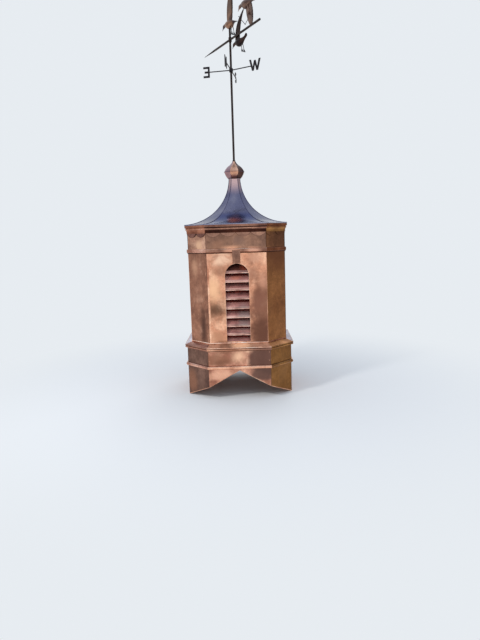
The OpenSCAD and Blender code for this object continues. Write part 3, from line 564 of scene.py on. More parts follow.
            ((-0.085, 0.14, 4.76), (0.09, 0.09, 0.07), (48, 44, 54), 0.95),
            ((0.085, -0.14, 4.72), (0.09, 0.09, 0.07), (56, 48, 54), 0.95),
            ((-0.01, 0.0, 5.02), (0.2, 0.2, 0.22), (106, 84, 72), 0.95)]},
    "gooseLow": {
        "tones": [(84, 62, 54), (56, 42, 40), (36, 30, 34)], "cloudScale": 9.0, "gloss": 0.32, "dull": 0.5,
        "metallic": 0.9},
    "gooseTrailing": {
        "tones": [(160, 130, 116), (118, 96, 86), (78, 62, 60)], "cloudScale": 9.0, "gloss": 0.3, "dull": 0.48,
        "metallic": 0.9},
    "eye": {"tones": [(30, 26, 26), (22, 20, 22), (16, 14, 16)], "gloss": 0.1, "dull": 0.2},
}
metal = {key: makeMetal(key + "Metal", look) for key, look in finishes.items()}
print("finishes ready")


def dress(mesh, keys):
    # gives a mesh the named finishes in place of any it had, which also forgets which face had which
    mesh.materials.clear()
    for key in [keys] if isinstance(keys, str) else keys:
        mesh.materials.append(metal[key])


def finishPiece(piece, body="cupola", nodes=()):
    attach(piece, body)
    if nodes:
        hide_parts(*nodes)


def smoothFaces(bm, sharpAngle):
    # faces outwards, smooth but for the sharp edges
    bmesh.ops.recalc_face_normals(bm, faces=bm.faces)
    limit = math.radians(sharpAngle)
    for edge in bm.edges:
        edge.smooth = edge.is_manifold and edge.calc_face_angle(0) < limit
    for f in bm.faces:
        f.smooth = True


def pieceFrom(bm, name, keys, sharpAngle=32):
    # turns finished mesh data into an object at the origin
    smoothFaces(bm, sharpAngle)
    mesh = bpy.data.meshes.new(name)
    dress(mesh, keys)
    bm.to_mesh(mesh)
    bm.free()
    return newObject(name, mesh)


def smoothSheet(piece, sharpAngle=32):
    bm = bmesh.new()
    bm.from_mesh(piece.data)
    smoothFaces(bm, sharpAngle)
    bm.to_mesh(piece.data)
    bm.free()
    return piece


def tintFaces(bm, pick):
    # one finish for each face, picked by its middle and its way
    bmesh.ops.recalc_face_normals(bm, faces=bm.faces)
    for f in bm.faces:
        f.material_index = pick(f.calc_center_median(), f.normal)


def weave(bm, rows, ringed=True, capped=True):
    # faces from row to row, all round if the rows are rings, with a cap at each end
    for a, b in zip(rows, rows[1:]):
        for j in range(len(a) if ringed else len(a) - 1):
            k = (j + 1) % len(a)
            bm.faces.new((a[j], a[k], b[k], b[j]))
    if capped:
        bm.faces.new(rows[0])
        bm.faces.new(rows[-1])


def keepShape(piece):
    # what the modifiers make becomes the piece's own mesh
    graph = bpy.context.evaluated_depsgraph_get()
    made = bpy.data.meshes.new_from_object(piece.evaluated_get(graph), depsgraph=graph)
    piece.modifiers.clear()
    piece.data = made


def newGrower(name, inputs):
    # an empty Geometry Nodes tree with its named inputs
    return newGroup(name, "GeometryNodeTree", [("Geometry", "Geometry", None)] + inputs
                    + [("Material", "Material", None)], [("Geometry", "Geometry")])


def endGrower(tree, shape, given):
    # every tree ends alike: real geometry with its finish on
    real = put(tree, "GeometryNodeRealizeInstances", {"Geometry": shape}).outputs["Geometry"]
    done = put(tree, "GeometryNodeSetMaterial", {"Geometry": real, "Material": given["Material"]}).outputs["Geometry"]
    put(tree, "NodeGroupOutput", {"Geometry": done})
    return tree


def scatter(tree, points, instance, **more):
    values = dict(Points=points, Instance=instance, **more)
    return put(tree, "GeometryNodeInstanceOnPoints", values).outputs["Instances"]


def chance(tree, least, most, seed):
    return put(tree, "FunctionNodeRandomValue", {2: least, 3: most, "Seed": seed}, data_type="FLOAT").outputs[1]


def grown(tree, name, mesh, values):
    # runs a tree on a mesh and keeps the result as a plain mesh
    piece = newObject(name, mesh)
    modifier = piece.modifiers.new(name, "NODES")
    modifier.node_group = tree
    keys = {item.name: item.identifier for item in tree.interface.items_tree
            if item.item_type == "SOCKET" and item.in_out == "INPUT"}
    for label, value in values.items():
        modifier[keys[label]] = value
    keepShape(piece)
    piece.data.name = name
    return piece


def meshOf(name, points, edges=()):
    mesh = bpy.data.meshes.new(name)
    mesh.from_pydata([tuple(p) for p in points], list(edges), [])
    return mesh


def seamTree():
    # a rounded seam, bead or wire along every line of the mesh it is given
    tree, given = newGrower("seamLine", [("Radius", "Float", 0.003), ("Sides", "Int", 10)])
    line = put(tree, "GeometryNodeMeshToCurve", {"Mesh": given["Geometry"]}).outputs["Curve"]
    ring = put(tree, "GeometryNodeCurvePrimitiveCircle", {
        "Resolution": given["Sides"], "Radius": given["Radius"]}).outputs["Curve"]
    tube = put(tree, "GeometryNodeCurveToMesh", {
        "Curve": line, "Profile Curve": ring, "Fill Caps": True}).outputs["Mesh"]
    return endGrower(tree, tube, given)


def rivetTree():
    # domed rivets on a mesh's points, each standing the way its point faces
    tree, given = newGrower("rivets", [
        ("Radius", "Float", 0.004), ("Rise", "Float", 0.45), ("Sides", "Int", 12), ("Unevenness", "Float", 0.12),
        ("Seed", "Int", 3)])
    head = put(tree, "GeometryNodeMeshUVSphere", {
        "Segments": given["Sides"], "Rings": 6, "Radius": given["Radius"]}).outputs["Mesh"]
    flat = vectorOf(tree, X=1.0, Y=1.0, Z=given["Rise"])
    head = put(tree, "GeometryNodeTransform", {"Geometry": head, "Scale": flat}).outputs["Geometry"]
    facing = put(tree, "GeometryNodeInputNamedAttribute", {"Name": "facing"}, data_type="FLOAT_VECTOR").outputs[0]
    stand = put(tree, "FunctionNodeAlignRotationToVector", {"Vector": facing}, axis="Z").outputs[0]
    small = reckon(tree, "SUBTRACT", 1.0, given["Unevenness"])
    large = reckon(tree, "ADD", 1.0, given["Unevenness"])
    many = scatter(tree, given["Geometry"], head, Rotation=stand, Scale=chance(tree, small, large, given["Seed"]))
    return endGrower(tree, many, given)


def slatTree():
    # repeats one blade up a stack, each a hair out of true, and turns the stack to its side
    tree, given = newGrower("louverSlats", [
        ("Count", "Int", 9), ("Pitch", "Float", 0.114), ("Out of True", "Float", 0.004), ("Turn", "Float", 0.0),
        ("Seed", "Int", 1)])
    line = put(tree, "GeometryNodeMeshLine", {
        "Count": given["Count"], "Offset": vectorOf(tree, Z=given["Pitch"])}).outputs["Mesh"]
    least = reckon(tree, "MULTIPLY", given["Out of True"], -1.0)
    tip = chance(tree, least, given["Out of True"], given["Seed"])
    lean = vectorOf(tree, X=reckon(tree, "MULTIPLY", tip, 3.0), Y=tip)
    stack = scatter(tree, line, given["Geometry"], Rotation=lean)
    stack = put(tree, "GeometryNodeTransform", {
        "Geometry": stack, "Rotation": vectorOf(tree, Z=given["Turn"])}).outputs["Geometry"]
    return endGrower(tree, stack, given)


def goreTree():
    # one bell-shaped roof panel from a grid, repeated round the axis
    tree, given = newGrower("bellGores", [
        ("Radius", "Float", 0.62), ("Centre Out", "Float", 0.69), ("Centre Height", "Float", 2.85),
        ("Foot Angle", "Float", 0.05), ("Stretch", "Float", 1.0), ("Half Width Share", "Float", 0.59),
        ("Across", "Int", 17), ("Along", "Int", 49), ("Panels", "Int", 4), ("First Turn", "Float", 0.0)])
    grid = put(tree, "GeometryNodeMeshGrid", {
        "Size X": 2.0, "Size Y": 1.0, "Vertices X": given["Across"], "Vertices Y": given["Along"]}).outputs["Mesh"]
    place = put(tree, "GeometryNodeInputPosition").outputs[0]
    parts = put(tree, "ShaderNodeSeparateXYZ", {"Vector": place}).outputs
    share = reckon(tree, "ADD", parts["Y"], 0.5)
    sweep = reckon(tree, "SUBTRACT", math.pi / 2, given["Foot Angle"])
    angle = reckon(tree, "MULTIPLY_ADD", share, sweep, given["Foot Angle"])
    inward = reckon(tree, "MULTIPLY", reckon(tree, "SINE", angle), given["Radius"])
    fall = reckon(tree, "MULTIPLY", reckon(tree, "COSINE", angle), given["Radius"])
    reach = reckon(tree, "SUBTRACT", given["Centre Out"], inward)
    height = reckon(tree, "SUBTRACT", given["Centre Height"], fall)
    across = reckon(tree, "MULTIPLY", reckon(tree, "MULTIPLY", parts["X"], reach), given["Half Width Share"])
    front = reckon(tree, "MULTIPLY", reckon(tree, "MULTIPLY", reach, given["Stretch"]), -1.0)
    gore = put(tree, "GeometryNodeSetPosition", {
        "Geometry": grid, "Position": vectorOf(tree, X=across, Y=front, Z=height)}).outputs["Geometry"]
    spots = put(tree, "GeometryNodeMeshLine", {"Count": given["Panels"], "Offset": (0, 0, 0)}).outputs["Mesh"]
    number = put(tree, "GeometryNodeInputIndex").outputs[0]
    turn = reckon(tree, "MULTIPLY_ADD", number, reckon(tree, "DIVIDE", tau, given["Panels"]), given["First Turn"])
    return endGrower(tree, scatter(tree, spots, gore, Rotation=vectorOf(tree, Z=turn)), given)


seams, rivets, slats, gores = seamTree(), rivetTree(), slatTree(), goreTree()


def wire(name, lines, radius, finish, closed=False, sides=8):
    # a seam, bead or wire along each of the given lines of points
    points, edges = [], []
    for line in lines:
        first = len(points)
        points += line
        edges += [(k, k + 1) for k in range(first, len(points) - 1)]
        if closed:
            edges.append((len(points) - 1, first))
    return smoothSheet(grown(seams, name, meshOf(name, points, edges), {
        "Radius": radius, "Sides": sides, "Material": metal[finish]}))


def octagonRing(half, faceAt, soften, runs):
    # points round the octagon, counter-clockwise from the front's left, with softened corners
    reach = faceAt[0] + faceAt[1] * half
    corners = [Vector(turned(end * reach, -half, quarter * math.pi / 2)) for quarter in range(4) for end in (-1, 1)]
    points = []
    for k in range(8):
        before, here, after = corners[k - 1], corners[k], corners[(k + 1) % 8]
        s = min(soften, 0.2 * (after - here).length, 0.2 * (before - here).length)
        first = here + (before - here).normalized() * s
        last = here + (after - here).normalized() * s
        middle = here + ((first + last) / 2 - here).normalized() * 0.199 * s    # on the round of a 45 degree turn
        nextFirst = after + (here - after).normalized() * s
        count = runs[k % 2]
        points += [first, middle, last] + [last.lerp(nextFirst, j / count) for j in range(1, count)]
    return points


offsetFace = (faceHalf - shaftHalf * mitre, mitre)   # half a main face's width at any distance from the axis
ringRuns = (14, 8)                                   # points along a main face and along a corner panel


def roundedSection(points, radius):
    # softens the corners of a closed section of (out, height) points
    out = []
    n = len(points)
    for k in range(n):
        before, here, after = (Vector(points[(k + j) % n]) for j in (-1, 0, 1))
        a, b = before - here, after - here
        turn = math.pi - a.angle(b)
        if turn < math.radians(20):    # a gentle bend stays as it is
            out.append(here)
            continue
        s = min(radius * math.tan(turn / 2), 0.35 * a.length, 0.35 * b.length)
        start, end = here + a.normalized() * s, here + b.normalized() * s
        out += [start, start.lerp(here, 0.5).lerp(here.lerp(end, 0.5), 0.5), end]
    return out


def octagonSweep(name, section, keys, pick, faceAt=offsetFace, soften=0.003, runs=ringRuns, wave=0.0, seed=0.0):
    # carries a closed section round the eight faces; its first value is the distance from the axis
    bm = bmesh.new()
    rows = []
    for half, z in section:
        row = []
        for p in octagonRing(half, faceAt, soften, runs):
            grow = 1 + wave * wobble(p.x * 3 + seed, p.y * 3, z * 5) / half
            lift = 0.5 * wave * wobble(p.x * 4, p.y * 4 + seed, z * 2 + 9)
            row.append(bm.verts.new((p.x * grow, p.y * grow, z + lift)))
        rows.append(row)
    weave(bm, rows + rows[:1], capped=False)
    tintFaces(bm, pick)
    return pieceFrom(bm, name, keys)


def faceFrame(x, y):
    # which of the eight faces a point belongs to: its outward direction, the place along it, half its width
    best = None
    for k in range(8):
        a = k * math.pi / 4 - math.pi / 2
        out = Vector((math.cos(a), math.sin(a)))
        apothem, width = (cornerOut, cornerHalf) if k % 2 else (shaftHalf, faceHalf)
        reach = out.x * x + out.y * y - apothem
        if best is None or reach > best[0]:
            best = (reach, out, x * -out.y + y * out.x, width)
    return best[1:]


def nudge(v, out, push):
    v.co.x += out.x * push
    v.co.y += out.y * push


sheetWork = {
    "weld": 1e-5,
    "flat": 0.5,             # degrees up to which neighbouring faces count as one
    "sharp": 28,             # degrees from which an edge is broken
    "bevel": 0.0008,
    "pane": 0.045,           # size of the panes that let a panel wave
    "fade": 0.05,            # strip along a panel's edges that stays true
    "shaftWave": 0.0035,
    "skirtWave": 0.003,
    "friezeWave": 0.002,
    "flareHeight": 0.03,     # how far up a scallop its outward lean reaches
}


def cutIntoPanes(bm, node):
    # cuts a panel level, upright and, on the corner panels, on the slant
    low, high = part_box(node)
    pane, slant = sheetWork["pane"], 0.7071
    corners = [Vector((x, y, z)) for x in (low.x, high.x) for y in (low.y, high.y) for z in (low.z, high.z)]
    for axis in ((1, 0, 0), (0, 1, 0), (0, 0, 1), (slant, slant, 0), (slant, -slant, 0)):
        way = Vector(axis)
        spans = sorted(way.dot(corner) for corner in corners)
        size = spans[-1] - spans[0]
        slanted = axis[0] and axis[1]
        throughSheet = not slanted and not axis[2] and size < 0.1
        if throughSheet or (slanted and "corner" not in node):
            continue
        for k in range(int(size / pane) + 1):
            bmesh.ops.bisect_plane(bm, geom=bm.verts[:] + bm.edges[:] + bm.faces[:], dist=1e-6,
                                   plane_co=way * (spans[0] + (k + 0.5) * pane), plane_no=way)


def wavePanels(bm, node, wave, opening):
    # every face stands a little in and out, but not along its edges or round its opening
    low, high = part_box(node)
    fade = sheetWork["fade"]
    for v in bm.verts:
        out, along, half = faceFrame(v.co.x, v.co.y)
        weight = softStep(0, fade, half - abs(along)) * softStep(0, fade, v.co.z - low.z)
        weight *= softStep(0, fade, high.z - v.co.z)
        if opening and v.co.z > cupola["sillHeight"] - 0.01:
            up = max(0.0, v.co.z - cupola["springHeight"])
            weight *= softStep(0, fade, math.hypot(along, up) - cupola["openingHalf"] - 0.012)
        nudge(v, out, wave * weight * (wobble(along * 3.1 + 5 * out.x, out.y * 7, v.co.z * 2.3)
                                       + 0.4 * wobble(along * 9 + out.x, out.y * 3, v.co.z * 7)))


def workedCopy(node, name, keys, bevel=sheetWork["bevel"], wave=0.0, pick=None, body="cupola",
               sharpAngle=32, opening=False, flare=0.0, swell=0.0):
    # a dressed copy of a solid: joined up, edges broken, panels slightly waved as hand-worked sheet is
    bm = bmesh.new()
    bm.from_mesh(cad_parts[node].data)
    bmesh.ops.remove_doubles(bm, verts=bm.verts, dist=sheetWork["weld"])
    bmesh.ops.dissolve_limit(bm, angle_limit=math.radians(sheetWork["flat"]), verts=bm.verts, edges=bm.edges)
    if swell:
        bm.normal_update()
        moves = [v.normal * min(2.0, v.calc_shell_factor()) * swell for v in bm.verts]
        for v, move in zip(bm.verts, moves):
            v.co += move
    sharp = [e for e in bm.edges if e.is_manifold and e.calc_face_angle(0) > math.radians(sheetWork["sharp"])]
    bmesh.ops.bevel(bm, geom=sharp, offset=bevel, segments=2, profile=0.6, affect="EDGES", clamp_overlap=True)
    if wave:
        cutIntoPanes(bm, node)
        wavePanels(bm, node, wave, opening)
    if flare:
        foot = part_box(node)[0].z
        for v in bm.verts:
            rise = max(0.0, 1 - (v.co.z - foot) / sheetWork["flareHeight"])
            nudge(v, faceFrame(v.co.x, v.co.y)[0], flare * rise ** 1.5)
    if pick:
        tintFaces(bm, pick)
    finishPiece(pieceFrom(bm, name, keys, sharpAngle), body, [node])


def shadedCorners(centre, normal):
    # two opposite corners take a browner, smoother and darker copy of each finish: painted shade, the same on both
    # corners
    return 1 if centre.x * centre.y < 0 else 0


def byFace(centre, normal):
    # 0 on the four main faces, then the golden corners, painted in shade, and the mauve ones
    out = faceFrame(centre.x, centre.y)[0]
    if abs(out.x * out.y) < 0.1:
        return 0
    return 1 if out.x * out.y < 0 else 2


def beadShade(centre, normal):
    # painted shade under a bead
    return 3 if normal.z < -0.72 else byFace(centre, normal)


def ledgeShade(centre, normal):
    # the two side ledges carry a pale painted reflection, the others take the walls' colours by face
    return byFace(centre, normal) or (3 if abs(centre.x) > abs(centre.y) else 0)


def bandShade(*bands, corners=True):
    # painted shade on faces turned down and within the given heights, the corners too unless told not to; otherwise
    # by the face
    def choose(centre, normal):
        face = byFace(centre, normal)
        inBand = normal.z < 0.5 and any(low < centre.z < high for low, high in bands)
        return 3 if normal.z < -0.8 or (inBand and (corners or not face)) else face
    return choose


def dressByFace(piece, keys):
    # the finishes for the main faces, the golden corners in painted shade and the mauve ones
    dress(piece.data, keys)
    for f in piece.data.polygons:
        f.material_index = byFace(f.center, f.normal)


print("walls")
for side in ("front", "back", "left", "right"):
    workedCopy("shaft_wall_" + side, "shaftWall" + side.capitalize(), "shaft",
               wave=sheetWork["shaftWave"], opening=True)
    workedCopy("base_wall_" + side, "skirtWall" + side.capitalize(), "base",
               wave=sheetWork["skirtWave"])

print("louvers")
louver = {
    "blades": 9, "pitch": 0.114, "lip": 0.034, "depth": 0.080, "sheet": 0.003, "setBack": 0.026, "half": 0.1597,
    "hem": 0.0035,
    "shine": 0.009,          # height of the painted highlight along the foot of a lip
    "bright": 0.046,         # depth behind the lip from which a blade takes dark red painted shade
    "steps": 14,             # along a blade
    "bow": 0.0012,
    "soften": 0.0015,
    "bladeHeights": (0.05, 0.3),   # a shell of the solid as tall as this is a blade
    # lip; painted shade deep behind the lip; painted highlight along the hem; slope; painted shade on the blade in
    # the arch's head
    "finishes": ("louver", "louverDeep", "louverHem", "louverSlope", "louverHead"),
}


def makeBlade(firstHeight):
    # a folded blade: rolled hem, upright lip, then a slope that runs up behind the blade above
    t, lip, depth, bright = (louver[key] for key in ("sheet", "lip", "depth", "bright"))
    top = louver["pitch"] + 0.006
    outline = roundedSection([
        (louver["hem"], 0.0), (0.0, 0.004), (0.0, louver["shine"]), (0.0, lip - 0.002), (-0.002, lip), (-depth, top),
        (-depth, top - 1.5 * t), (-t, lip - t - 0.001), (-t, 0.004), (-t - 0.001, 0.0)], louver["soften"])
    # one more line of points where the slope passes into painted shade
    cut = outline.index(min(outline, key=lambda p: p[0]))
    near = max(k for k in range(cut) if outline[k][0] > -bright)
    start, end = outline[near], outline[near + 1]
    outline.insert(near + 1, start.lerp(end, (start.x + bright) / (start.x - end.x)))
    bm = bmesh.new()
    rows = []
    for j in range(louver["steps"] + 1):
        x = -louver["half"] + 2 * louver["half"] * j / louver["steps"]
        bows = [louver["bow"] * wobble(x * 9, out * 8, z * 8) for out, z in outline]
        rows.append([bm.verts.new((x, -out + bow, z + 0.5 * bow)) for (out, z), bow in zip(outline, bows)])
    weave(bm, rows)
    lipFace = louver["setBack"] - shaftHalf
    for v in bm.verts:
        v.co.y += lipFace
        v.co.z += firstHeight
    bmesh.ops.recalc_face_normals(bm, faces=bm.faces)
    # each face's finish: painted shade deep behind the lip and underneath, a painted highlight along the foot of the
    # lip, then the slope and the lip
    tint = bm.faces.layers.int.new("tint")
    for f in bm.faces:
        middle = f.calc_center_median()
        inner = middle.y > lipFace + bright or f.normal.z < -0.4
        foot = middle.z < firstHeight + louver["shine"] and f.normal.y < -0.3
        f[tint] = 1 if inner else 2 if foot else 3 if f.normal.z > 0.3 else 0
    blade = bpy.data.meshes.new("blade")
    bm.to_mesh(blade)
    bm.free()
    return blade


def shellsOf(bm):
    # the separate shells of a mesh, each as its vertices
    seen = set()
    for start in bm.verts:
        if start in seen:
            continue
        seen.add(start)
        shell, queue = [], [start]
        while queue:
            v = queue.pop()
            shell.append(v)
            others = [e.other_vert(v) for e in v.link_edges]
            fresh = [other for other in others if other not in seen]
            seen.update(fresh)
            queue += fresh
        yield shell


def carrierOf(node, name):
    # the stiles and head that carry the blades, from the solid, in the louvers' painted shade
    bm = bmesh.new()
    bm.from_mesh(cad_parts[node].data)
    bmesh.ops.remove_doubles(bm, verts=bm.verts, dist=sheetWork["weld"])
    low, high = louver["bladeHeights"]
    drop = []
    for shell in shellsOf(bm):
        heights = [v.co.z for v in shell]
        if low < max(heights) - min(heights) < high:
            drop += shell
    bmesh.ops.delete(bm, geom=drop, context="VERTS")
    bmesh.ops.dissolve_limit(bm, angle_limit=0.01, verts=bm.verts, edges=bm.edges)
    bmesh.ops.bevel(bm, geom=bm.edges[:], offset=0.001, segments=2, profile=0.6, affect="EDGES")
    return pieceFrom(bm, name, "louverDeep")


def makeLouvers():
    firstHeight = cupola["sillHeight"] - louver["lip"] - 0.003
    lastLip = firstHeight + (louver["blades"] - 1) * louver["pitch"] + louver["lip"]
    blade = makeBlade(firstHeight)
    for k, side in enumerate(("front", "right", "back", "left")):
        stack = grown(slats, "louverBlades" + side.capitalize(), blade.copy(), {
            "Count": louver["blades"], "Pitch": louver["pitch"], "Turn": k * math.pi / 2, "Seed": k + 3,
            "Material": metal["louver"]})
        dress(stack.data, louver["finishes"])
        # the blade in the arch's head takes the head's painted shade
        for f, shade in zip(stack.data.polygons, stack.data.attributes["tint"].data):
            f.material_index = 4 if f.center.z > lastLip + 0.004 else shade.value
        carrier = carrierOf("louvers_" + side, "louverStiles" + side.capitalize())
        finishPiece(smoothSheet(stack), nodes=["louvers_" + side])
        finishPiece(carrier)


makeLouvers()
workedCopy("shaft_corner_panels", "shaftCornerPanels", ("cornerPanel", "cornerInShade"),
           wave=sheetWork["shaftWave"], pick=shadedCorners)
workedCopy("base_corner_panels", "skirtCornerPanels", ("baseCorner", "baseInShade"),
           wave=sheetWork["skirtWave"], pick=shadedCorners)
workedCopy("frieze", "friezeBand", ("frieze", "friezeInShade", "friezeBright"),
           wave=sheetWork["friezeWave"], pick=byFace)
workedCopy("keystones", "keystones", "keystone", bevel=0.002)
workedCopy("scallop_trim", "scallopTrim", ("scallop", "friezeInShade", "scallopMauve"),
           bevel=0.0006, flare=0.003, pick=byFace)

print("seams and rivets")
joints = {
    "lapWidth": 0.024,       # strip of a main panel folded over the corner panel beside it
    "lapSheet": 0.0014,
    "steps": 24,             # up a lap or a seam
    "seamRadius": 0.0024,
    "openRadius": 0.0018,    # dark line beside a lap
    "friezeRadius": 0.0026,
    "hemRadius": 0.0034,
    "edgeRadius": 0.0022,    # bead round an opening
    "sway": 0.002,           # how far a lap's edge wanders, and how far it lifts
    "lift": 0.0006,
    "skirtSide": 0.4007,     # how far from the middle the skirt's upright seams stand
    "rivetRadius": 0.0048,
    "rivetPitch": 0.105,
    "rivetInset": 0.016,     # from a skirt's seam to its rivets
}


def onFace(quarter, along, out, z):
    # a point on one of the four main faces
    return Vector((*turned(along, -(shaftHalf + out), quarter * math.pi / 2), z))


def skirtFoot(x):
    # height of the saddle cut under a point of the skirt
    return cupola["saddleSlope"] * max(0.0, shaftHalf + baseOut - abs(x))


def cornerLaps(name, low, high, width, finish):
    # a folded strip at the left end of every main face, in the finish it is given
    bm = bmesh.new()
    steps, inner, buried = joints["steps"], -faceHalf + 0.0006, -0.001
    for quarter in range(4):
        rows = []
        for k in range(steps + 1):
            z = low + (high - low) * k / steps
            outer = -faceHalf + width + joints["sway"] * wobble(quarter * 3.0, 1.0, z * 9)
            proud = joints["lapSheet"] + joints["lift"] * wobble(quarter * 3.0, 7.0, z * 14)
            ends = ((inner, buried), (inner, proud), (outer, proud), (outer, buried))
            rows.append([bm.verts.new(onFace(quarter, along, reach, z)) for along, reach in ends])
        weave(bm, rows)
    finishPiece(pieceFrom(bm, name, finish))


def uprightSeams(name, out, bottoms, high, ends, finish, radius):
    # a seam up the chosen ends of every main face; bottoms are for front and back, then for the sides
    face = faceHalf + out * mitre
    steps = joints["steps"]
    lines = []
    for quarter in range(4):
        low = bottoms[quarter % 2]
        for end in ends:
            heights = [low + (high - low) * k / steps for k in range(steps + 1)]
            lines.append([onFace(quarter, end * face + 0.0008 * wobble(quarter * 5.0 + end, 3.0, z * 11),
                                 out + 0.0004, z) for z in heights])
    finishPiece(wire(name, lines, radius, finish))


def openingEdges():
    # the cut edge of every opening, turned over into a fine bead, bright with a painted highlight
    half, sill, spring = cupola["openingHalf"], cupola["sillHeight"], cupola["springHeight"]
    # up the left side, over the arch, down the right side and back along the sill
    outline = [(-half, sill + (spring - sill) * k / 16) for k in range(16)]
    outline += [(-half * math.cos(math.pi * k / 28), spring + half * math.sin(math.pi * k / 28)) for k in range(29)]
    outline += [(half, spring - (spring - sill) * k / 16) for k in range(1, 17)]
    outline += [(half - 2 * half * k / 6, sill) for k in range(1, 6)]
    lines = []
    for quarter in range(4):
        wanders = [0.0005 * wobble(along * 20, quarter * 4.0, z * 20) for along, z in outline]
        lines.append([onFace(quarter, along + wander, 0.0006 + wander, z)
                      for (along, z), wander in zip(outline, wanders)])
    finishPiece(wire("openingEdges", lines, joints["edgeRadius"], "edgeLight", closed=True))


def skirtHem():
    # a rolled hem along the foot of the skirt, crumpled a little at the corners
    face = faceHalf + baseOut * mitre
    corners = [onFace(quarter, along, baseOut, 0) for quarter in range(4)
               for along in ((-face, face) if quarter % 2 else (-face, 0, face))]
    points = []
    for k, here in enumerate(corners):
        there = corners[(k + 1) % len(corners)]
        steps = max(6, int((there - here).length / 0.012))
        for j in range(steps):
            p = here.lerp(there, j / steps)
            near = 1 - softStep(0.0, 0.05, min(j, steps - j) / steps * (there - here).length)
            push = 1 + (0.0012 + 0.006 * near) * wobble(p.x * 22, p.y * 22, 2.0)
            lift = 0.0035 + 0.007 * near * abs(wobble(p.x * 35, p.y * 35, 6.0))
            points.append((p.x * push, p.y * push, skirtFoot(p.x) + lift))
    finishPiece(wire("skirtHem", [points], joints["hemRadius"], "moulding", closed=True, sides=10))


def panelRivets():
    # rows of small rivets beside the skirt's corner seams and along the shaft's laps
    face = faceHalf + baseOut * mitre
    spots = []
    for quarter in range(4):
        way = onFace(quarter, 0, 0, 0).normalized()
        for end in (-1, 1):
            p = onFace(quarter, end * (face - joints["rivetInset"]), baseOut, 0)
            z = skirtFoot(p.x) + 0.022
            while z < cupola["baseHeight"] - 0.03:
                spots.append(((p.x, p.y, z), way))
                z += joints["rivetPitch"]
        z = cupola["shaftHeight"] + 0.06
        while z < cupola["beltHeight"] - 0.03:
            spots.append((onFace(quarter, -faceHalf + 0.012, joints["lapSheet"], z), way))
            z += 1.9 * joints["rivetPitch"]
    mesh = meshOf("rivetSpots", [place for place, _ in spots])
    facing = mesh.attributes.new("facing", "FLOAT_VECTOR", "POINT")
    for item, (_, way) in zip(facing.data, spots):
        item.vector = way
    heads = grown(rivets, "panelRivets", mesh, {
        "Radius": joints["rivetRadius"], "Sides": 12, "Seed": 8, "Material": metal["moulding"]})
    finishPiece(smoothSheet(heads))


foot, belt, bed, plate = (cupola[key] for key in ("shaftHeight", "beltHeight", "bedHeight", "plateHeight"))
ledge, baseTop, friezeFoot = cupola["ledgeHeight"], cupola["baseHeight"], cupola["friezeHeight"]
seamFoot = foot + 0.008
# the shaft's laps and right-hand seams are bright with a painted highlight along each; the dark lines beside the laps
# and up the frieze are open joints
cornerLaps("shaftLaps", seamFoot, belt, joints["lapWidth"], "moulding")
cornerLaps("friezeLaps", friezeFoot, bed, 0.5 * joints["lapWidth"], "scallop")
uprightSeams("shaftSeams", 0.0, (seamFoot, seamFoot), belt, (1,), "moulding", joints["seamRadius"])
uprightSeams("shaftOpenJoints", 0.0, (seamFoot, seamFoot), belt, (-1,), "mouldingDark",
             joints["openRadius"])
uprightSeams("friezeSeams", 0.0, (friezeFoot, friezeFoot), bed, (-1, 1), "mouldingDark",
             joints["friezeRadius"])
uprightSeams("skirtSeams", baseOut, (skirtFoot(joints["skirtSide"]), 0.004), baseTop - 0.02, (-1, 1),
             "baseCorner", joints["seamRadius"])
openingEdges()
skirtHem()
panelRivets()

print("mouldings")
mouldings = {
    "soften": 0.004,
    "edge": 0.002,
    "wave": 0.0012,
    "crownOut": 0.030,       # how far the crown stands out from the skirt
    "scallop": {"deep": 0.048, "out": 0.0042, "radius": 0.0022, "steps": 12},
    # main faces, golden corners in painted shade, mauve corners, and painted shade under beads and in bands
    "shades": ("moulding", "mouldingInShade", "mouldingMauve", "mouldingDark"),
}


def arcPoints(x, y, r, start, end, steps):
    angles = [math.radians(start + k * (end - start) / steps) for k in range(steps + 1)]
    return [(x + r * math.cos(a), y + r * math.sin(a)) for a in angles]


def halfRound(out, z, height, depth):
    r = (height * height / 4 + depth * depth) / (2 * depth)
    a = math.degrees(math.atan2(height / 2, r - depth))
    return arcPoints(out + depth - r, z + height / 2, r, -a, a, 16)


def moulding(name, node, section, seed, shade, keys=mouldings["shades"]):
    placed = [(shaftHalf + x, z) for x, z in section]
    piece = octagonSweep(name, roundedSection(placed, mouldings["edge"]), keys, shade, soften=mouldings["soften"],
                         wave=mouldings["wave"], seed=seed)
    finishPiece(piece, nodes=[node])


def edgeLine(name, out, z, radius, keys):
    # a fine rolled edge all the way round, standing out from the shaft by out; its bright finish on the main faces is
    # a painted highlight
    ring = octagonRing(shaftHalf + out, offsetFace, mouldings["soften"], ringRuns)
    points = [(p.x, p.y, z + 0.0006 * wobble(p.x * 9, p.y * 9, z)) for p in ring]
    line = wire(name, [points], radius, keys[0], closed=True)
    dressByFace(line, keys)
    finishPiece(line)


def scallopShadowLines():
    # a dark line under every scallop, four to a main face and two to a corner panel: a thin wire that paints the
    # scallop's shadow
    deep, out, radius, steps = mouldings["scallop"].values()
    lines = []
    for k in range(8):
        reach, half, count = (cornerOut, cornerHalf, 2) if k % 2 else (shaftHalf, faceHalf, 4)
        lobe = 2 * half / count
        r = (lobe * lobe / 4 + deep * deep) / (2 * deep)
        sweep = math.asin(lobe / 2 / r)
        for n in range(count):
            angles = [sweep * (j / (steps // 2) - 1) for j in range(steps + 1)]
            lines.append([(*turned((n + 0.5) * lobe - half + r * math.sin(a), -reach - out, k * math.pi / 4),
                           bed - deep + r - r * math.cos(a)) for a in angles])
    line = wire("scallopShadowLines", lines, radius, "keystone")
    dressByFace(line, ("keystone", "friezeInShade", "mouldingDark"))
    finishPiece(line)


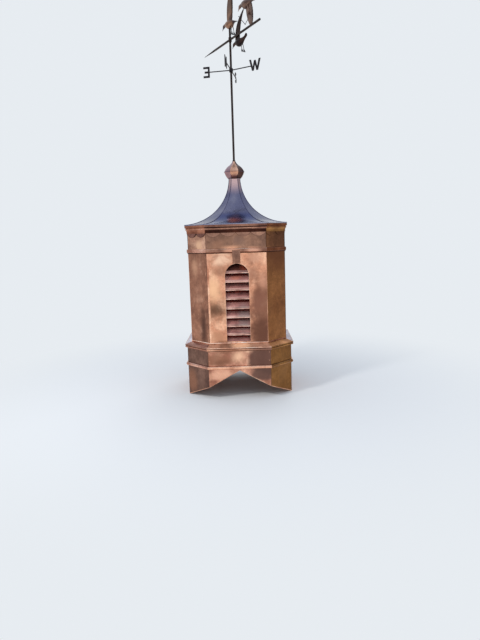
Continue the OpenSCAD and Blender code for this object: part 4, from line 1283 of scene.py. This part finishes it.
beadHeight = cupola["saddleSlope"] * (shaftHalf + baseOut) + 0.018
moulding("skirtBead", "base_bead", halfRound(baseOut - 0.0015, beadHeight, 0.046, 0.0275), 1,
         beadShade)
crownOut = baseOut + mouldings["crownOut"]
# the crown's section: over its flat top, down its face with one groove, and in along a hollow
crown = [(baseOut - 0.02, baseTop), (baseOut - 0.02, ledge), (crownOut, ledge), (crownOut, ledge - 0.009),
         (crownOut - 0.004, ledge - 0.011), (crownOut - 0.004, ledge - 0.015), (crownOut, ledge - 0.017),
         (crownOut, baseTop)]
crown += arcPoints(baseOut + 0.016, baseTop - 0.016, 0.013, 90, 180, 8)
crown += [(baseOut, baseTop - 0.016), (baseOut, baseTop)]
# painted shade in the crown's groove and its hollow
moulding("skirtCrown", "base_crown", crown, 2,
         bandShade((ledge - 0.0168, ledge - 0.0092), (baseTop - 0.014, baseTop + 0.0005)))
slope = [(-0.02, ledge), (baseOut + 0.026, ledge), (baseOut + 0.026, ledge + 0.003), (0, foot), (-0.02, foot)]
moulding("skirtLedge", "base_ledge", slope, 3, ledgeShade,
         ("ledge", "ledgeInShade", "mouldingMauve", "ledgePaleReflection"))
# the foot bead bright with a painted highlight on the main faces and the mauve corners
moulding("footBead", "foot_bead", halfRound(-0.001, foot, 0.018, 0.009), 4, byFace,
         ("edgeLight", "corniceOrange", "edgeLight"))
# painted shade along the belt's lower edge, over the cornice bed and in a band of the cornice crown; bed and crown
# keep it off the corners
workedCopy("belt_moulding", "beltMoulding",
           ("cornice", "corniceInShade", "mouldingMauve", "mouldingDark"), bevel=0.0012,
           pick=bandShade((belt - 0.001, belt + 0.013)))
workedCopy("cornice_bed", "corniceBed",
           ("keystone", "mouldingInShade", "corniceOrange", "mouldingDark"), bevel=0.001,
           pick=bandShade((bed - 0.001, bed + 0.047), corners=False))
workedCopy("cornice_crown", "corniceCrown",
           ("cornice", "corniceInShade", "corniceOrange", "mouldingDark"), bevel=0.001,
           pick=bandShade((plate + 0.005, plate + 0.0165), corners=False))
edgeLine("ledgeEdge", baseOut + 0.0295, ledge + 0.0005, 0.0034,
         ("edgeLight", "mouldingInShade", "keystone"))
edgeLine("beltEdge", 0.0135, friezeFoot - 0.003, 0.0026,
         ("edgeLight", "corniceOrange", "edgeLight"))
edgeLine("corniceEdge", 0.0265, plate - 0.0065, 0.0034,
         ("moulding", "mouldingInShade", "moulding"))
scallopShadowLines()

print("roof")
roof = {
    "radius": 0.620, "neckHalf": 0.072, "eaveHalf": 0.657, "drip": 0.010, "sheet": 0.004, "along": 57, "across": 17,
    "wave": 0.0012, "seamRadius": 0.0042, "seamSteps": 40,
}


def makeRoof():
    r, eave = roof["radius"], roof["eaveHalf"]
    centre = roof["neckHalf"] + r
    footAngle = math.asin((centre - eave) / r)
    height = cupola["eaveHeight"] + roof["drip"] + r * math.cos(footAngle)
    face = faceHalf + (eave - shaftHalf) * mitre

    def panels(name, halfWidth, stretch, firstTurn):
        return grown(gores, name, meshOf("seed", [(0, 0, 0)]), {
            "Radius": r, "Centre Out": centre, "Centre Height": height, "Foot Angle": footAngle,
            "Along": roof["along"], "Across": roof["across"], "Material": metal["roof"],
            "Half Width Share": halfWidth / eave, "Stretch": stretch / eave, "First Turn": firstTurn})

    main = panels("bellRoof", face, eave, 0.0)
    corner = panels("cornerRoof", (eave - face) / math.sqrt(2), (eave + face) / math.sqrt(2), math.pi / 4)
    bm = bmesh.new()
    for part in (main, corner):
        bm.from_mesh(part.data)
    bpy.data.objects.remove(corner)
    bmesh.ops.remove_doubles(bm, verts=bm.verts, dist=sheetWork["weld"])
    # the eave turns down into a drip that ends just above the cornice
    low = min(v.co.z for v in bm.verts)
    rim = [e for e in bm.edges if e.is_boundary and all(v.co.z < low + 1e-4 for v in e.verts)]
    for v in bmesh.ops.extrude_edge_only(bm, edges=rim)["geom"]:
        if isinstance(v, bmesh.types.BMVert):
            v.co.z = cupola["eaveHeight"] + 0.0003
    for v in bm.verts:
        push = roof["wave"] * softStep(0, 0.12, v.co.z - low) * wobble(v.co.x * 5, v.co.y * 5, v.co.z * 6)
        nudge(v, faceFrame(v.co.x, v.co.y)[0], push)
    bmesh.ops.recalc_face_normals(bm, faces=bm.faces)
    bm.to_mesh(main.data)
    bm.free()
    thick = main.modifiers.new("sheet", "SOLIDIFY")
    thick.thickness, thick.offset = roof["sheet"], -1
    keepShape(main)
    smoothSheet(main, 24)
    # a standing seam along each of the eight hips
    hips = {round(math.atan2(sy * y, sx * x), 6) for x, y in ((face, eave), (eave, face))
            for sx in (-1, 1) for sy in (-1, 1)}
    steps, reach = roof["seamSteps"], math.hypot(face, eave) / eave
    lines = []
    for turn in sorted(hips):
        angles = [footAngle + j * (math.pi / 2 - footAngle) / steps for j in range(steps + 1)]
        reaches = [(centre - r * math.sin(a)) * reach for a in angles]
        lines.append([(d * math.cos(turn), d * math.sin(turn), height - r * math.cos(a))
                      for a, d in zip(angles, reaches)])
    hipSeams = wire("roofHipSeams", lines, roof["seamRadius"], "roofSeam", sides=10)
    finishPiece(main, nodes=["roof_front", "roof_back", "roof_left", "roof_right",
                                            "roof_corner_gores"])
    finishPiece(hipSeams)


makeRoof()

print("finial")
finial = {
    "half": 0.131, "bowl": 0.088, "dome": 0.134, "foot": 2.826, "seam": 2.914, "seamThick": 0.006, "seamOut": 0.004,
    "mastHalf": 0.014,
    # shares of the half width and of each half's height, from its foot upwards
    "bowlLine": [(0.58, 0), (0.68, 0.13), (0.79, 0.34), (0.885, 0.58), (0.95, 0.80), (0.985, 1.0)],
    "domeLine": [(0.985, 0), (0.95, 0.09), (0.90, 0.18), (0.83, 0.28), (0.74, 0.39), (0.63, 0.50), (0.48, 0.61),
                 (0.35, 0.73), (0.24, 0.86), (0.168, 1.0)],
    "finishes": ("finial", "finialInShade", "finialMauve", "roofSeam"),
}


def smoothThrough(points, steps):
    # a smooth line through points, ends kept
    out = []
    for k in range(len(points) - 1):
        p = [Vector(points[min(max(k + j, 0), len(points) - 1)]) for j in (-1, 0, 1, 2)]
        for s in range(steps):
            t = s / steps
            out.append(0.5 * ((2 * p[1]) + (p[2] - p[0]) * t + (2 * p[0] - 5 * p[1] + 4 * p[2] - p[3]) * t * t
                              + (3 * p[1] - p[0] - 3 * p[2] + p[3]) * t ** 3))
    out.append(Vector(points[-1]))
    return out


def facetTone(centre, normal):
    # painted light and shade on the facets: the front and back facets are bright, the ones left of them mauve, those
    # right of them olive, in painted shade
    if finial["seam"] - 0.001 < centre.z < finial["seam"] + 0.004 and math.hypot(normal.x, normal.y) > 0.3:
        return 3
    if abs(normal.x) < 0.4 * abs(normal.y):
        return 0
    return 1 if normal.x > 0 else 2


def makeFinial():
    h, footHeight = finial["half"], finial["foot"]
    low, high = finial["seam"], finial["seam"] + finial["seamThick"]
    seamOut, mastOut = h + finial["seamOut"], finial["mastHalf"] * 0.9    # the dome closes inside the mast
    lower = smoothThrough([(h * x, footHeight + finial["bowl"] * z) for x, z in finial["bowlLine"]], 4)
    upper = smoothThrough([(h * x, high + finial["dome"] * z) for x, z in finial["domeLine"]], 4)
    bowl = lower + [
        (seamOut - 0.0015, low), (seamOut, low + 0.0015), (seamOut, high - 0.0030), (seamOut - 0.0010, high - 0.0028),
        (h * 0.93, high - 0.0028), (h * 0.5, low - 0.02), (h * 0.5, footHeight + 0.006)]
    dome = [(h * 0.93, high - 0.0026), (seamOut - 0.0010, high - 0.0026), (seamOut, high - 0.0016),
            (seamOut - 0.0015, high)] + upper + [(mastOut, upper[-1].y), (mastOut, high + 0.05)]
    for name, section, node in (("finialBowl", bowl, "finial_lower"), ("finialDome", dome, "finial_upper")):
        piece = octagonSweep(name, [Vector(p) for p in section], finial["finishes"], facetTone, faceAt=(0, mitre),
                             soften=0.004, runs=(8, 8))
        finishPiece(piece, nodes=[node])


makeFinial()

print("mast and vane")
castings = {
    "bevel": 0.0007,
    "armBevel": 0.0012,
    "armSwell": 0.0018,      # cast arms and letters are a little fuller than their solids
    "letterSwell": 0.0022,
    "sharp": 40,             # degrees
}


def casting(node, name, keys="bronzeDark", bevel=castings["armBevel"], body="cupola", swell=0.0):
    workedCopy(node, name, keys, bevel=bevel, body=body, sharpAngle=castings["sharp"], swell=swell)


casting("mast", "mastTube", "bronze", castings["bevel"])
casting("direction_arms", "directionArms", swell=castings["armSwell"])
for way in ("north", "east", "south", "west"):
    casting("letter_" + way, "letter" + way.capitalize(), swell=castings["letterSwell"])
for node, name in (("vane_sleeve", "vaneSleeve"), ("arrow_shaft", "arrowTube"), ("arrow_point", "arrowPoint")):
    casting(node, name, "bronze", castings["bevel"], "vane")

# The geese, in millimetres
goose = {
    "heading": 121.3,        # degrees from +X, the arrow's way
    # distance ahead of the middle, height, half width and half height, from beak to tail
    "body": [(178, -16, 2, 2), (160, 0, 6, 6), (147, 10, 12, 12), (128, 20, 18, 18), (106, 25, 17, 18),
             (84, 23, 20, 22), (56, 14, 31, 34), (26, 3, 42, 46), (-8, -2, 46, 50), (-46, -2, 40, 42),
             (-84, -2, 27, 27), (-118, -6, 17, 15), (-150, -13, 14, 7), (-182, -21, 16, 3)],
    "tail": (-60, -182),
    "sides": 32,
    "rings": 10,
    "plumage": 0.9,          # height of a row of body feathers
    "rowLength": 17.0,
    "rowWave": 5,            # how far a row's edge runs in and out
    "barb": 0.5,             # height of the ridges along the tail
    "eye": (134, 15.4, 25),
    "eyeRadius": 3.2,
    "wingSteps": (72, 30),   # along and across a wing
    "tipShort": 0.9985,      # how far a whole wing runs, so that its tip keeps some width
    "feathers": 7,
    "notch": 6.0,
    "relief": 1.1,           # height of a feather's edge
    "camber": 1.4,
    "boneThick": 2.6,
    "wingGap": 10.0,
    "sheet": 1.6,
    "legRoot": (-62, 16, -30),
    "legLength": 84,
    "legLean": 15,
    "legRadii": (4.6, 3.2),
    "foot": [(-6, -4), (-6, 4), (44, 17), (38, 6), (48, 0), (38, -6), (44, -17)],
    "footThick": 1.8,
    "footPitch": 105,
    "toes": [(45, 17.5), (49, 0), (45, -17.5)],
    "toeRadii": (3.0, 1.7),
}
# wings: span, chord, root, lean and sweep; cut is how much of the span is there
flock = {
    "gooseLeading": {"node": "goose_lead", "place": (10, 0, 4737), "wings": (380, 118, -12, 20, 30), "up": 1,
                     "splay": 1.5, "cut": 1.0},
    "gooseLow": {"node": "goose_low", "place": (-186, -19.8, 4467), "wings": (350, 98, 36, 10, 165), "up": 1,
                 "splay": 0.0, "cut": 1.0, "size": 0.94, "pitch": 3, "lift": 50, "fan": 18},
    "gooseTrailing": {"node": "goose_trailing", "place": (-392, 0, 4825), "wings": (293.5, 128, -64, 55, 0), "up": -1,
                      "splay": 0.0, "cut": 0.9, "legs": "gooseTrailing"},
}


def saw(value):
    return value - math.floor(value)


def gooseSkin(bm, lift, fan, place):
    # the body's rings from beak to tail, with rows of feathers lapping backwards
    tailRoot, tailTip = goose["tail"]
    rings = []
    for ahead, height, width, tall in smoothThrough(goose["body"], goose["rings"]):
        back = max(0.0, (tailRoot - ahead) / (tailRoot - tailTip))
        cover = 0.0 if ahead >= 120 else softStep(120, 60, ahead) if ahead > 60 else 1.0
        ring = []
        for j in range(goose["sides"]):
            a = tau * j / goose["sides"]
            row = saw(-(ahead + goose["rowWave"] * abs(math.sin(4 * a))) / goose["rowLength"])
            push = goose["plumage"] * row * cover
            barb = goose["barb"] * math.sin(9 * a) * softStep(0, 0.6, back)
            ring.append(bm.verts.new(place @ Vector((
                ahead, (width + push) * math.cos(a),
                height + lift * back * back + (tall + fan * back + push + barb) * math.sin(a)))))
        rings.append(ring)
    weave(bm, rings)


def rimOf(rows):
    # the outer vertices of a grid, once round
    return rows[0] + [row[-1] for row in rows[1:-1]] + rows[-1][::-1] + [row[0] for row in rows[-2:0:-1]]


def wingSheet(bm, bird, hand, place):
    # one wing: a stiff leading edge, rows of coverts, then long feathers with notched tips
    span, chord, root, lean, sweep = bird["wings"]
    cut, feathers = bird["cut"], goose["feathers"]
    steps, across = goose["wingSteps"]
    tilt = math.radians(bird["splay"]) * hand
    sheets = []
    for side in (-1, 1):
        rows = []
        for i in range(steps + 1):
            s = cut * (i / steps) * (goose["tipShort"] if cut == 1.0 else 1.0)
            middle = root - lean * s - sweep * s ** 3
            half = chord / 2 * (0.85 + 0.8 * s) * (1 - s ** 2.2)    # swells a little, then narrows to the tip
            tip = saw(s / cut * feathers + 1e-6)
            z = span * s
            row = []
            for j in range(across + 1):
                u = 1 - 2 * j / across           # 1 at the leading edge, -1 at the feathers' ends
                x = middle + half * u - softStep(0.0, 1.0, -u) * goose["notch"] * (1 - tip) * (1 - s)
                covert = saw((1 - u) * 2.6 + 0.12 * math.sin(s * 60))
                vane = saw(s / cut * feathers - 0.5 * (1 + u) + 0.5)
                relief = goose["relief"] * (covert if u > -0.25 else vane)
                bone = goose["boneThick"] * softStep(0.4, 0.95, u) * (1 - s)
                thick = goose["sheet"] / 2 + bone + relief * min(1.0, 6 * (1 - s))
                if abs(u) > 0.999 or i in (0, steps):
                    thick = min(thick, 0.5)
                y = hand * goose["wingGap"] / 2 - hand * goose["camber"] * (u * u - 0.5) + side * thick
                row.append(bm.verts.new(place @ Vector((
                    x, y * math.cos(tilt) + z * math.sin(tilt), bird["up"] * z * math.cos(tilt)))))
            rows.append(row)
        sheets.append(rows)
        weave(bm, rows, ringed=False, capped=False)
    weave(bm, [rimOf(rows) for rows in sheets], capped=False)


def roundBar(bm, start, end, radii, place, sides=12, bulge=0.0):
    # a smooth bar between two points, with a swelling in the middle if asked for
    way = (end - start).normalized()
    across = way.orthogonal().normalized()
    other = way.cross(across)
    rows = []
    for i in range(9):
        t = i / 8
        r = radii[0] + (radii[1] - radii[0]) * t + bulge * math.exp(-((t - 0.5) / 0.12) ** 2)
        if i in (0, 8):
            r *= 0.55
        middle = start.lerp(end, t)
        spokes = [math.cos(a) * across + math.sin(a) * other for a in (tau * j / sides for j in range(sides))]
        rows.append([bm.verts.new(place @ (middle + r * spoke)) for spoke in spokes])
    weave(bm, rows)


def gooseLegs(bm, place):
    lean = math.radians(180 + goose["legLean"])
    pitch = math.radians(goose["footPitch"] + 180 - goose["legLean"])
    ahead, apart, height = goose["legRoot"]
    legEnd, half = Vector((0, 0, goose["legLength"])), goose["footThick"] / 2
    for hand in (-1, 1):
        root = Matrix.Translation(Vector((ahead, hand * apart, height)))
        leg = place @ root @ Matrix.Rotation(lean, 4, "Y")
        roundBar(bm, Vector((0, 0, 0)), legEnd, goose["legRadii"], leg, bulge=1.0)
        foot = leg @ Matrix.Translation(legEnd) @ Matrix.Rotation(pitch, 4, "Y")
        weave(bm, [[bm.verts.new(foot @ Vector((x, y, z))) for x, y in goose["foot"]] for z in (-half, half)])
        for x, y in goose["toes"]:
            roundBar(bm, Vector((-6, 0, 0)), Vector((x, y, 0)), goose["toeRadii"], foot, sides=8)


def makeGoose(name):
    bird = flock[name]
    heading = Matrix.Rotation(math.radians(goose["heading"]), 4, "Z") @ Matrix.Scale(0.001, 4)
    place = heading @ Matrix.Translation(Vector(bird["place"]))
    poised = (place @ Matrix.Rotation(math.radians(bird.get("pitch", 0)), 4, "Y")
              @ Matrix.Scale(bird.get("size", 1.0), 4))
    bm = bmesh.new()
    gooseSkin(bm, bird.get("lift", 0), bird.get("fan", 0), poised)
    for hand in (-1, 1):
        wingSheet(bm, bird, hand, place)
    feathered = len(bm.faces)
    gooseLegs(bm, poised)
    bodied = len(bm.faces)
    ahead, apart, height = goose["eye"]
    for hand in (-1, 1):
        socket = poised @ Matrix.Translation(Vector((ahead, hand * apart, height)))
        bmesh.ops.create_uvsphere(bm, u_segments=14, v_segments=8, radius=goose["eyeRadius"], matrix=socket)
    bm.faces.ensure_lookup_table()
    for k, f in enumerate(bm.faces):
        f.material_index = 2 if k >= bodied else 1 if k >= feathered else 0
    piece = pieceFrom(bm, name, (name, bird.get("legs", "bronzeDark"), "eye"), 50)
    finishPiece(piece, "vane", [bird["node"]])


for name in flock:
    makeGoose(name)

# The stay, in the geese's own millimetres
stay = {
    "bends": [(-446, 0, 4652), (-355, -9.5, 4616), (-212, -9.5, 4755)],
    "steps": 12,
    "radius": 0.0035,
    "solder": 0.0052,
    "lug": 5,                # half the length of the cross bar at the legs
    "lugRadius": 3.5,
}


def makeStay():
    # the bent wire that ties the trailing goose to the low one, with solder at its bends
    heading = Matrix.Rotation(math.radians(goose["heading"]), 4, "Z") @ Matrix.Scale(0.001, 4)
    bends = [Vector(bend) for bend in stay["bends"]]
    points = [heading @ a.lerp(b, k / stay["steps"]) for a, b in zip(bends, bends[1:]) for k in range(stay["steps"])]
    piece = wire("stayWire", [points + [heading @ bends[-1]]], stay["radius"], "gooseLow", sides=12)
    bm = bmesh.new()
    bm.from_mesh(piece.data)
    for bend in bends:
        bmesh.ops.create_uvsphere(bm, u_segments=14, v_segments=8, radius=stay["solder"],
                                  matrix=Matrix.Translation(heading @ bend))
    across = Vector((0, stay["lug"], 0))
    roundBar(bm, bends[0] - across, bends[0] + across, (stay["lugRadius"], stay["lugRadius"]), heading)
    bm.to_mesh(piece.data)
    bm.free()
    finishPiece(smoothSheet(piece), "vane")


makeStay()
